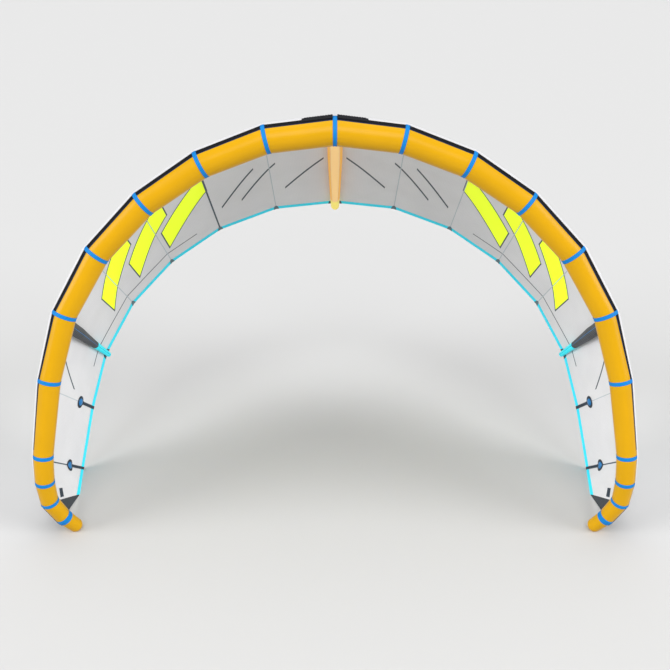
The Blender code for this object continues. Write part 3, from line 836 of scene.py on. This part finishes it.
@dataclass
class SeamStrips:
    """The black strips that cover the canopy's front seam, narrowing towards the wingtips."""

    shop: Workshop
    low: float = 29.0
    high: float = 59.4
    tip_low: float = 52.0
    taper: tuple[float, float] = (4.4, 7.4)
    end: float = 6.9
    pitch: float = 0.03
    columns: int = 7
    thinning: float = 0.5  # of its two edges

    def lower_angle(self, place: Array) -> Array:
        """The angle of the strip's lower edge, which rises by a smooth step."""
        return self.low + (self.tip_low - self.low) * smooth_step(np.abs(place), *self.taper)

    def build(self) -> None:
        """Makes both strips."""
        form = self.shop.form
        reach = form.from_middle(self.end)
        half = form.place_at(np.linspace(SEAT, reach, int(reach / self.pitch)))
        half = np.unique(np.concatenate([half, np.arange(1, int(self.end) + 1)]))
        share = np.linspace(0, 1, self.columns)[:, None]
        thick = TAPE * (1 - self.thinning * np.abs(2 * share - 1) ** 8)
        for label, side in SIDES.items():
            places = on_side(side, half)
            low = self.lower_angle(places)
            angles = low + (self.high - low) * share
            radius = np.interp(np.abs(places), np.arange(len(STATIONS)), form.radius)
            bottom, top = (form.on_tube(places, angles, off) for off in (SEAT, SEAT + thick))
            cloth = cloth_map(form.from_middle(places), np.radians(angles - low) * radius)
            item = Item(f"seam_strip_{label}", SEAM_STRIP, "seam_strip", (f"edge_strip_{label}",))
            self.shop.sheet(item, Layer(bottom, top, cloth))


@dataclass
class Bands:
    """The tape bands round the tube, one at each seam, which step over the strips."""

    shop: Workshop
    strips: SeamStrips
    start: float = 100.0  # under the canopy
    stop: float = 420.0  # just before the canopy's front edge
    rows: int = 121
    columns: int = 11
    width: float = 0.025
    end_width: float = 0.040
    step_angle: tuple[float, float] = (5.0, 0.5)  # where it rises, before the strip
    bead: float = 0.5 * MM  # extra height along the two stitched edges
    bead_at: float = 0.78  # as a share of half the width, as its spread is
    bead_spread: float = 0.16
    thinning: float = 0.45  # of its two edges

    def build(self) -> None:
        """Makes the bands, with a soft step up where the strip begins."""
        form = self.shop.form
        angles = np.linspace(self.start, self.stop, self.rows)[:, None]
        share = np.linspace(-1, 1, self.columns)
        bead = self.bead * np.exp(-(((np.abs(share) - self.bead_at) / self.bead_spread) ** 2))
        thick = TAPE * (1 - self.thinning * np.abs(share) ** 10) + bead
        for seam in range(-LAST_SEAM, LAST_SEAM + 1):
            across = share / 2 * (self.end_width if abs(seam) == LAST_SEAM else self.width)
            places = form.beside(seam, across)
            before, behind = 360 + self.strips.lower_angle(seam) - np.array(self.step_angle)
            over = smooth_step(angles, before, behind) * (abs(seam) < self.strips.end)
            base = SEAT + over * (TAPE + SEAT)
            bottom, top = (form.on_tube(places, angles, off) for off in (base, base + thick))
            cloth = cloth_map(across, np.radians(angles) * form.radius[abs(seam)])
            label = seam_label(seam)
            self.shop.sheet(Item(f"band_{label}", RING_TAPE, "ring_tape", (f"ring_{label}",)),
                            Layer(bottom, top, cloth))


@dataclass
class NosePads:
    """Two ribbed pads beside the middle band, which take the knocks when the kite lands."""

    shop: Workshop
    length: float = 0.175
    low: float = 40.0
    high: float = 76.0
    rows: int = 25
    columns: int = 141
    under: float = 1.6 * MM  # between the canopy's outer face and the pad
    thick: float = 4.6 * MM
    rib_height: float = 2.6 * MM
    rib_pitch: float = 15.0 * MM
    rib_width: float = 0.93  # as a share of the pad's
    bevel: float = 0.022  # length of the sloping end
    end_share: float = 0.3  # of its thickness, left at the far end
    side_loss: float = 0.6  # of its thickness, at its long edges
    gap: float = 0.4 * MM

    def build(self) -> None:
        """Makes the pads: a slab with round ribs across it, sloping off at its far end and sides."""
        form = self.shop.form
        start = Bands.width / 2 + self.gap
        distance = np.linspace(start, start + self.length, self.columns)
        angles = np.linspace(self.low, self.high, self.rows)[:, None]
        past = np.radians(np.maximum(angles - CANOPY_ANGLE, 0))
        base = form.radius[0] * (1 / np.cos(past) - 1) + CLOTH + self.under
        share = np.abs(np.linspace(-1, 1, self.rows))[:, None]
        edge = 1 - self.side_loss * share**6
        for label, side in SIDES.items():
            far = on_side(side, distance)
            inwards = start + self.length - np.abs(far)
            slope = self.end_share + (1 - self.end_share) * smooth_step(inwards, 0.0, self.bevel)
            ribs = self.rib_height * np.abs(np.sin(math.pi * (np.abs(far) - start) / self.rib_pitch)) ** 0.5
            height = (self.thick + ribs * (share < self.rib_width)) * slope * edge
            bottom, top = (form.on_tube(form.place_at(far), angles, off) for off in (base, base + height))
            item = Item(f"ribbed_pad_{label}", PAD_RUBBER, "nose_pad", (f"nose_pad_{label}",))
            layer = Layer(bottom, top, cloth_map(far, np.radians(angles) * form.radius[0]))
            self.shop.layers(item, layer)


@dataclass
class Canopy:
    """The sewn panels between the ribs, with a tape over each seam."""

    shop: Workshop
    rows: int = 64
    steps: int = 24  # columns of faces between two seams
    front_bias: float = 1.5  # rows stand closer near the tube, where the cloth bends more
    ripple: float = 1.6 * MM  # slow unevenness of the tensioned cloth
    seam_gap: float = 0.2 * MM
    tape_width: float = 0.006
    slate_tape_width: float = 0.011
    tape_thick: float = 0.5 * MM
    tape_seat: float = 0.1 * MM
    outer_from: float = 0.06  # where along the rib the outer face's tapes begin, behind the tube
    slate_seams: tuple[int, ...] = (-2, -7, 7)

    def row_shares(self) -> Array:
        """Shares of the rib at which the rows stand."""
        return np.linspace(0, 1, self.rows + 1)[:, None] ** self.front_bias

    def unevenness(self, place: Array, along: Array) -> Array:
        """A slow ripple, from three sines, that dies out at every seam and at both edges."""
        hold = np.sin(math.pi * (np.abs(place) % 1)) * np.clip(np.sin(math.pi * np.clip(along, 0, 1)), 0, 1)
        waves = 5.1 * place + 7 * along, 3.3 * place - 11 * along + 1, 17 * along + 2
        return self.ripple * hold * sum(np.sin(wave) for wave in waves) / 3

    def add_panel(self, label: str, side: int, number: int) -> None:
        """Makes one panel. The last one takes in two of the tube's short lengths."""
        form = self.shop.form
        last = number if number <= LAST_RIB else TIP_RIB
        places = np.linspace(number - 1, last, (last - number + 1) * self.steps + 1)
        places[0] += self.seam_gap / STATIONS[number].run
        places[-1] -= self.seam_gap / STATIONS[last].run
        places = on_side(side, places)
        along = self.row_shares() * form.before_edge(places, BAND_WIDTH + self.seam_gap)
        sway = self.unevenness(places, along) * (number <= LAST_RIB)
        inner, outer = (form.off_skin(places, along, off) for off in (sway, sway + CLOTH))
        node = f"canopy_{label}_{number}"
        item = Item(f"canopy_panel_{label}_{number}", RIPSTOP, "canopy_cloth", (node,))
        self.shop.sheet(item, Layer(inner, outer, form.panel_map(places, inner, BAND_WIDTH)))

    def add_tape(self, seam: int, face: str, low: float, start: float, slate: bool) -> None:
        """Makes the tape over one seam, on one face of the canopy.

        Args:
            seam: the seam that it covers.
            face: which face it is on, for its name.
            low: its own inner face, from the canopy's inner face.
            start: where along the rib it begins.
            slate: whether it is the wider slate tape.
        """
        form = self.shop.form
        width = self.slate_tape_width if slate else self.tape_width
        places = form.beside(seam, np.linspace(-0.5, 0.5, 5) * width)
        along = (start + (1 - start) * self.row_shares()) * form.before_edge(places, BAND_WIDTH)
        inner, outer = (form.off_skin(places, along, off) for off in (low, low + self.tape_thick))
        finish = SLATE_TAPE if slate else PALE_TAPE
        item = Item(f"seam_tape_{face}_{seam_label(seam)}", finish, "canopy_cloth")
        self.shop.layers(item, Layer(inner, outer, form.panel_map(places, inner, BAND_WIDTH)))

    def build(self) -> None:
        """Makes the panels of both halves, and the tapes."""
        for label, side in SIDES.items():
            for number in range(1, LAST_RIB + 2):
                self.add_panel(label, side, number)
        for seam in range(-LAST_RIB, LAST_RIB + 1):
            self.add_tape(seam, "inner", -self.tape_thick - self.tape_seat, 0.0, seam in self.slate_seams)
            self.add_tape(seam, "outer", CLOTH + self.tape_seat, self.outer_from, False)


@dataclass
class TrailingEdge:
    """The folded band along the rear, with a small patch over it at each seam."""

    STRUT_EXTRA = {0: 0.055, STRUT_SEAM: 0.040}  # how much wider a patch is beside a strut

    shop: Workshop
    steps: int = 24
    rows: int = 6
    thinning: float = 0.45  # towards the fold
    middle_gap: float = 0.2 * MM
    corner_gap: float = 1.4 * MM
    patch_rear: float = 0.040  # a patch's width at the edge
    patch_front: float = 0.022
    patch_length: float = 0.056
    patch_round: float = 0.35  # the share of its length over which its front is rounded
    patch_narrow: float = 0.8  # how far the rounding closes it
    patch_thick: float = 0.6 * MM
    patch_seat: float = 0.6 * MM
    patch_short: float = 0.5 * MM
    patch_map_from: float = 0.2  # where its cloth map begins

    def add_band(self, label: str, side: int) -> None:
        """Makes the band, thinner towards the fold at its rear."""
        form = self.shop.form
        places = np.linspace(0, TIP_RIB, TIP_RIB * self.steps + 1)
        places[0] += self.middle_gap / STATIONS[1].run
        places[-1] -= self.corner_gap / STATIONS[TIP_RIB].run
        places = on_side(side, places)
        share = np.linspace(0, 1, self.rows + 1)[:, None]
        distance = BAND_WIDTH * (1 - share)
        along = form.before_edge(places, distance)
        half = CLOTH * (1 - self.thinning * share**6) / 2
        inner, outer = (form.off_skin(places, along, off) for off in (CLOTH / 2 - half, CLOTH / 2 + half))
        self.shop.sheet(Item(f"rear_band_{label}", BAND_CLOTH, "edge_band_cloth", (f"edge_band_{label}",)),
                        Layer(inner, outer, cloth_map(form.from_middle(places), distance)))

    def add_patch(self, seam: int) -> None:
        """Makes the patch at one seam, on both faces: a trapezium with a rounded front."""
        form = self.shop.form
        extra = self.STRUT_EXTRA.get(abs(seam), 0.0)
        share = np.linspace(0, 1, 13)[:, None]
        half = (self.patch_front + (self.patch_rear - self.patch_front) * share + extra) / 2
        rounding = (1 - np.clip(share / self.patch_round, 0, 1)) ** 2
        places = form.beside(seam, half * np.sqrt(1 - self.patch_narrow * rounding) * np.linspace(-1, 1, 9))
        along = form.before_edge(places, self.patch_length * (1 - share) + self.patch_short)
        cloth = cloth_map(form.from_middle(places), self.patch_map_from + self.patch_length * share)
        layers = []
        for low in (-self.patch_thick - self.patch_seat, CLOTH + self.patch_seat):
            faces = (form.off_skin(places, along, off) for off in (low, low + self.patch_thick))
            layers.append(Layer(*faces, cloth))
        finish = PATCH_DARK if extra else PATCH_GREY
        self.shop.layers(Item(f"rear_patch_{seam_label(seam)}", finish, "tip_patch_cloth"), *layers)

    def build(self) -> None:
        """Makes both bands and the patches."""
        for label, side in SIDES.items():
            self.add_band(label, side)
        for seam in range(-STRUT_SEAM, STRUT_SEAM + 1):
            self.add_patch(seam)


@dataclass(frozen=True)
class StrutSize:
    """A strut's diameters at four places along its rib."""

    diameters: tuple[float, float, float, float]
    at: tuple[float, float, float, float] = (0.0, 0.60, 0.80, 1.0)

    def radius(self, along: Array) -> Array:
        """The radius at a place along the rib."""
        return np.interp(along, self.at, self.diameters) / 2


@dataclass
class Struts:
    """The inflated struts under the canopy, whose fronts are fitted to the leading-edge tube."""

    shop: Workshop
    sides: int = 48
    rows: int = 110
    middle: StrutSize = StrutSize((0.104, 0.097, 0.080, 0.058))
    side: StrutSize = StrutSize((0.088, 0.080, 0.052, 0.034))
    drop: float = 1.6 * MM  # below the canopy
    to: float = 0.99
    tail_from: float = 0.82
    tail_gap: float = 1.2 * MM
    fit_gap: float = 3.2 * MM  # off the tube, which leaves room for a band
    fit_reach: float = 0.3  # how far along the rib a strut's front can be
    dome_rows: int = 8

    def axis(self, seam: int, along: Array, size: StrutSize) -> Array:
        """The strut's centre line: its radius below the canopy's inner face."""
        return self.shop.form.off_skin(float(seam), along, -(size.radius(along) + self.drop))

    def surface(self, seam: int, along: Array, size: StrutSize) -> Array:
        """Points round the strut: a circle square to its centre line.

        Args:
            seam: the rib that it lies under.
            along: values along the rib, with a column for each of its lengthwise lines.
            size: its diameters.

        Returns:
            The points, whose circle turns from the strut's right side over its top.
        """
        step = self.shop.form.STEP
        back = unit(self.axis(seam, along + step, size) - self.axis(seam, along - step, size))
        out = self.shop.form.skin_normal(float(seam), np.clip(along, 0, 1))
        across = unit(np.cross(back, out))
        turn = (np.arange(self.sides) * 2 * math.pi / self.sides)[:, None]
        ring = np.cos(turn) * across + np.sin(turn) * np.cross(across, back)
        return self.axis(seam, along, size) + size.radius(along)[..., None] * ring

    def outside_tube(self, points: Array, seam: int) -> Array:
        """How far points are outside the tube: the least distance to its two lengths at a seam.

        Args:
            points: the points, in the level frame.
            seam: the seam.

        Returns:
            The distance of each.
        """
        form, at = self.shop.form, abs(seam)
        sign = MIRROR if seam < 0 else 1
        before = form.centre[at - 1] if at else form.centre[1] * MIRROR
        start, clear = form.centre[at] * sign, []
        ends = (before, form.radius[abs(at - 1)]), (form.centre[at + 1], form.radius[at + 1])
        for other, radius in ends:
            line = other * sign - start
            share = np.clip(((points - start) @ line) / (line**2).sum(), 0, 1)
            away = np.linalg.norm(points - start - share[..., None] * line, axis=-1)
            clear.append(away - form.radius[at] - share * (radius - form.radius[at]))
        return np.minimum(*clear)

    def fitted_front(self, seam: int, size: StrutSize) -> Array:
        """Where each lengthwise line leaves the tube, found by halving the stretch forty times."""
        low, high = np.zeros(self.sides), np.full(self.sides, self.fit_reach)
        for _ in range(40):
            middle = (low + high) / 2
            inside = self.outside_tube(self.surface(seam, middle, size), seam) < self.fit_gap
            low, high = np.where(inside, middle, low), np.where(inside, high, middle)
        return high

    def add(self, item: Item, seam: int, size: StrutSize, start: Array, end: float, rows: int) -> None:
        """Makes one length of strut. The one that reaches the strut's end is closed by a dome.

        Args:
            item: what it is.
            seam: the rib that it lies under.
            size: its diameters.
            start: where along the rib each of its lengthwise lines begins.
            end: where they end.
            rows: how many rings of points it has.
        """
        along = start + (end - start) * np.linspace(0, 1, rows)[:, None]
        rings = self.surface(seam, along, size)
        tail = self.axis(seam, end, size)
        if end == self.to:
            way = unit(tail - self.axis(seam, end - 0.01, size))
            bend = np.linspace(0, math.pi / 2, self.dome_rows + 1)[1:-1, None, None]
            reach = size.radius(end)
            dome = tail + reach * np.sin(bend) * way + np.cos(bend) * (rings[-1] - tail)
            rings = np.concatenate([rings, dome])
            tail = tail + reach * way
        middles = rings.mean(axis=1)
        around = 1 - np.arange(self.sides + 1) / self.sides
        cloth = cloth_map(travelled(middles)[:, None], around)
        self.shop.tube(item, rings, np.array([middles[0], tail]), cloth)

    def build(self) -> None:
        """Makes the middle strut, and the side struts with their tails."""
        item = Item("middle_strut", MIDDLE_STRUT_CLOTH, "middle_strut_cloth", ("strut_middle",))
        self.add(item, 0, self.middle, self.fitted_front(0, self.middle), self.to, self.rows)
        tail_start = np.full(self.sides, self.tail_from + self.tail_gap / STATIONS[STRUT_SEAM].chord)
        for label, side in SIDES.items():
            seam = side * STRUT_SEAM
            item = Item(f"side_strut_{label}", SIDE_STRUT_CLOTH, "side_strut_cloth", (f"strut_{label}",))
            self.add(item, seam, self.side, self.fitted_front(seam, self.side), self.tail_from, self.rows)
            item = Item(f"side_strut_tail_{label}", TAIL_CLOTH, "strut_tail_cloth", (f"strut_tail_{label}",))
            self.add(item, seam, self.side, tail_start, self.to, self.rows // 4)


@dataclass
class Battens:
    """Narrow pockets under the canopy, each with a round patch and a rubber dome on it."""

    shop: Workshop
    width: float = 0.022
    disc: float = 0.084
    disc_at: tuple[float, float] = (0.84, 0.81)
    short: float = 4.0 * MM  # of the trailing edge
    under: float = 1.3 * MM
    thick: float = 1.4 * MM
    columns: int = 15
    dome_width: float = 0.050
    dome_height: float = 0.010
    dome_gap: float = 0.2 * MM
    dome_sides: int = 32
    dome_rows: int = 8

    def add_pocket(self, label: str, seam: int, number: int) -> None:
        """Makes the strip and its round patch: a circle's half width, and no less than the strip's.

        Args:
            label: the side's name.
            seam: the rib that it lies under.
            number: which of the side's pockets it is.
        """
        form, disc_at, radius = self.shop.form, self.disc_at[number - 1], self.disc / 2
        speed = form.rear_speed(abs(seam))
        disc = -radius * np.cos(np.radians(np.linspace(3, 160, 30)))
        strip = np.linspace(disc[-1], (1 - disc_at) * speed - self.short, 16)[1:]
        distance = np.concatenate([disc, strip])
        half = np.sqrt(np.maximum(radius**2 - distance**2, 0))
        half = np.where(distance > 0, np.maximum(half, self.width / 2), half)
        across = half[:, None] * np.linspace(-1, 1, self.columns)
        square = np.interp(distance, (disc[-1], distance[-1]), (1.0, 0.0))
        places, along = form.around(seam, disc_at + distance / speed, across, square)
        bottom, top = (form.off_skin(places, along, -off) for off in (self.under + self.thick, self.under))
        node = f"batten_{label}_{number}"
        item = Item(f"batten_pocket_{label}_{number}", BATTEN_TAPE, "batten_tape", (node,))
        self.shop.sheet(item, Layer(bottom, top, cloth_map(across, distance[:, None])))

    def add_dome(self, label: str, seam: int, number: int) -> None:
        """Makes the dome on the round patch: a flattened half ball, whose seat follows the patch.

        Args:
            label: the side's name.
            seam: the rib that it lies under.
            number: which of the side's patches it is on.
        """
        form, disc_at, radius = self.shop.form, self.disc_at[number - 1], self.dome_width / 2
        turn = np.arange(self.dome_sides + 1) * 2 * math.pi / self.dome_sides
        bend = np.linspace(0, math.pi / 2, self.dome_rows + 1)[:-1, None]
        across = radius * np.cos(bend) * np.cos(turn[:-1])
        back = radius * np.cos(bend) * np.sin(turn[:-1])
        values = disc_at + back.ravel() / form.rear_speed(abs(seam))
        places, along = form.around(seam, values, across.reshape(-1, 1), np.ones(back.size))
        depth = self.under + self.thick + self.dome_gap
        seat = form.off_skin(places, along, -depth).reshape(*back.shape, 3)
        height = self.dome_height * form.skin_normal(float(seam), disc_at)
        middle = form.off_skin(float(seam), disc_at, -depth)
        self.shop.tube(Item(f"batten_dome_{label}_{number}", DOME_RUBBER, "batten_tape"),
                       seat - np.sin(bend)[..., None] * height, np.array([middle, middle - height]),
                       cloth_map(radius * bend, radius * turn))

    def build(self) -> None:
        """Makes the pockets and domes of both wingtips."""
        for label, side in SIDES.items():
            for number, seam in enumerate(BATTEN_SEAMS, start=1):
                self.add_pocket(label, side * seam, number)
                self.add_dome(label, side * seam, number)


@dataclass
class Wingtips:
    """The charcoal corner patches and the webbing tabs beside the tube."""

    shop: Workshop
    patch_end: float = 10.25
    patch_reach: float = 0.985
    patch_gap: float = 0.4 * MM
    tab_width: float = 0.045
    tab_ends: tuple[float, float] = (8.37, 8.88)
    tab_at: float = 0.67
    tab_under: float = 1.1 * MM
    tab_thick: float = 1.4 * MM

    def add_patch(self, label: str, side: int) -> None:
        """Makes the corner patch, in line with the canopy's last panel."""
        form = self.shop.form
        start = TIP_RIB + self.patch_gap / STATIONS[TIP_RIB + 1].run
        places = on_side(side, np.append(np.linspace(start, TIP_RIB + 1, 15), self.patch_end))
        along = self.patch_reach * np.linspace(0, 1, 25)[:, None] ** Canopy.front_bias
        inner, outer = (form.off_skin(places, along, off) for off in (0.0, CLOTH))
        item = Item(f"corner_patch_{label}", PATCH_CLOTH, "tip_patch_cloth", (f"tip_patch_{label}",))
        self.shop.sheet(item, Layer(inner, outer, form.panel_map(places, inner)))

    def add_tab(self, label: str, side: int) -> None:
        """Makes the short tab of webbing across the last panel."""
        form = self.shop.form
        places = on_side(side, np.linspace(*self.tab_ends, 13))
        across = self.tab_width / 2 * np.linspace(-1, 1, 7)[:, None]
        along = self.tab_at + across / form.rear_speed(places)
        depths = self.tab_under + self.tab_thick, self.tab_under
        bottom, top = (form.off_skin(places, along, -depth) for depth in depths)
        item = Item(f"webbing_tab_{label}", BATTEN_TAPE, "webbing", (f"tip_tab_{label}",))
        self.shop.sheet(item, Layer(bottom, top, cloth_map(across, form.from_middle(places))))

    def build(self) -> None:
        """Makes a patch and a tab on each side."""
        for label, side in SIDES.items():
            self.add_patch(label, side)
            self.add_tab(label, side)


@dataclass(frozen=True)
class StudioLight:
    """A wide, distant light. spread is its width as seen from the kite."""

    name: str
    azimuth: float  # from straight ahead of the kite, towards its right
    elevation: float
    strength: float
    spread: float = 35.0


@dataclass
class Studio:
    """The floor, the soft lights and the camera."""

    form: KiteForm
    floor_colour: str = "#C3C3C3"
    floor_radius: float = 90.0
    floor_sides: int = 96
    sky: float = 0.28
    lights: tuple[StudioLight, ...] = (
        StudioLight("left key", -66.0, 22.0, 2.25),
        StudioLight("right key", 66.0, 22.0, 2.25),
        StudioLight("front", 0.0, 40.0, 1.7),
        StudioLight("rear top", 180.0, 75.0, 1.1, 60.0),
    )
    camera_place: tuple[float, float, float] = (0.0, -7.2825, -2.1597)  # in the level frame
    camera_tilt: float = 7.4
    lens: float = 68.29254  # in mm
    sensor: float = 36.0

    def add_floor(self) -> None:
        """Lays a pale, matt disc of painted board."""
        turn = np.arange(self.floor_sides) * 2 * math.pi / self.floor_sides
        rim = np.stack([np.cos(turn), np.sin(turn), 0 * turn], axis=-1) * self.floor_radius
        mesh = bpy.data.meshes.new("floor")
        mesh.from_pydata(rim.tolist(), [], [list(range(self.floor_sides))])
        material = bpy.data.materials.new("painted board, pale")
        material.use_nodes = True
        shader = material.node_tree.nodes["Principled BSDF"]
        shader.inputs["Base Color"].default_value = linear(self.floor_colour)
        shader.inputs["Roughness"].default_value = 0.9
        shader.inputs["Specular IOR Level"].default_value = 0.1
        mesh.materials.append(material)
        floor = bpy.data.objects.new("floor", mesh)
        bpy.context.scene.collection.objects.link(floor)

    def add_lights(self) -> None:
        """Sets the soft lights, and lights the room evenly."""
        for light in self.lights:
            data = bpy.data.lights.new(light.name, "SUN")
            data.energy = light.strength
            data.angle = math.radians(light.spread)
            lamp = bpy.data.objects.new(light.name, data)
            lamp.rotation_euler = (math.radians(90 - light.elevation), 0.0, math.radians(light.azimuth))
            bpy.context.scene.collection.objects.link(lamp)
        world = bpy.data.worlds.new("room")
        world.use_nodes = True
        background = world.node_tree.nodes["Background"]
        background.inputs["Color"].default_value = linear("#FFFFFF")
        background.inputs["Strength"].default_value = self.sky
        bpy.context.scene.world = world
        bpy.context.scene.view_settings.view_transform = "Standard"

    def add_camera(self) -> None:
        """Sets the camera before the kite, below its nose line, looking up along its chords."""
        data = bpy.data.cameras.new("camera")
        data.sensor_width = self.sensor
        data.lens = self.lens
        data.clip_end = 200.0
        camera = bpy.data.objects.new("camera", data)
        camera.location = self.form.standing(np.array(self.camera_place))
        camera.rotation_euler = (math.radians(90 + self.camera_tilt) - self.form.pitch, 0.0, 0.0)
        bpy.context.scene.collection.objects.link(camera)
        bpy.context.scene.camera = camera

    def build(self) -> None:
        """Makes the studio."""
        self.add_floor()
        self.add_lights()
        self.add_camera()


def tube_middle() -> Array:
    """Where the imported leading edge's axis crosses the middle of the span."""
    mesh = frame["nodes"]["leading_edge"].data
    points = np.empty(len(mesh.vertices) * 3, np.float32)
    mesh.vertices.foreach_get("co", points)
    points = points.reshape(-1, 3).astype(float)
    ring = np.unique(np.round(points[np.abs(points[:, 0]) < MM], 5), axis=0)
    return (ring.min(axis=0) + ring.max(axis=0)) / 2 * (0, 1, 1)


def main() -> None:
    """Builds the kite's sub-assemblies and the studio."""
    logging.basicConfig(level=logging.INFO, format="%(name)s: %(message)s")
    form = KiteForm(tube_middle())
    shop = Workshop(form)
    strips = SeamStrips(shop)
    sub_assemblies = (
        LeadingEdge(shop), strips, Bands(shop, strips), NosePads(shop), Canopy(shop), TrailingEdge(shop),
        Struts(shop), Battens(shop), Wingtips(shop), Studio(form),
    )
    for sub_assembly in sub_assemblies:
        sub_assembly.build()
        LOG.info("%s done", type(sub_assembly).__name__)


if __name__ == "__main__":
    main()
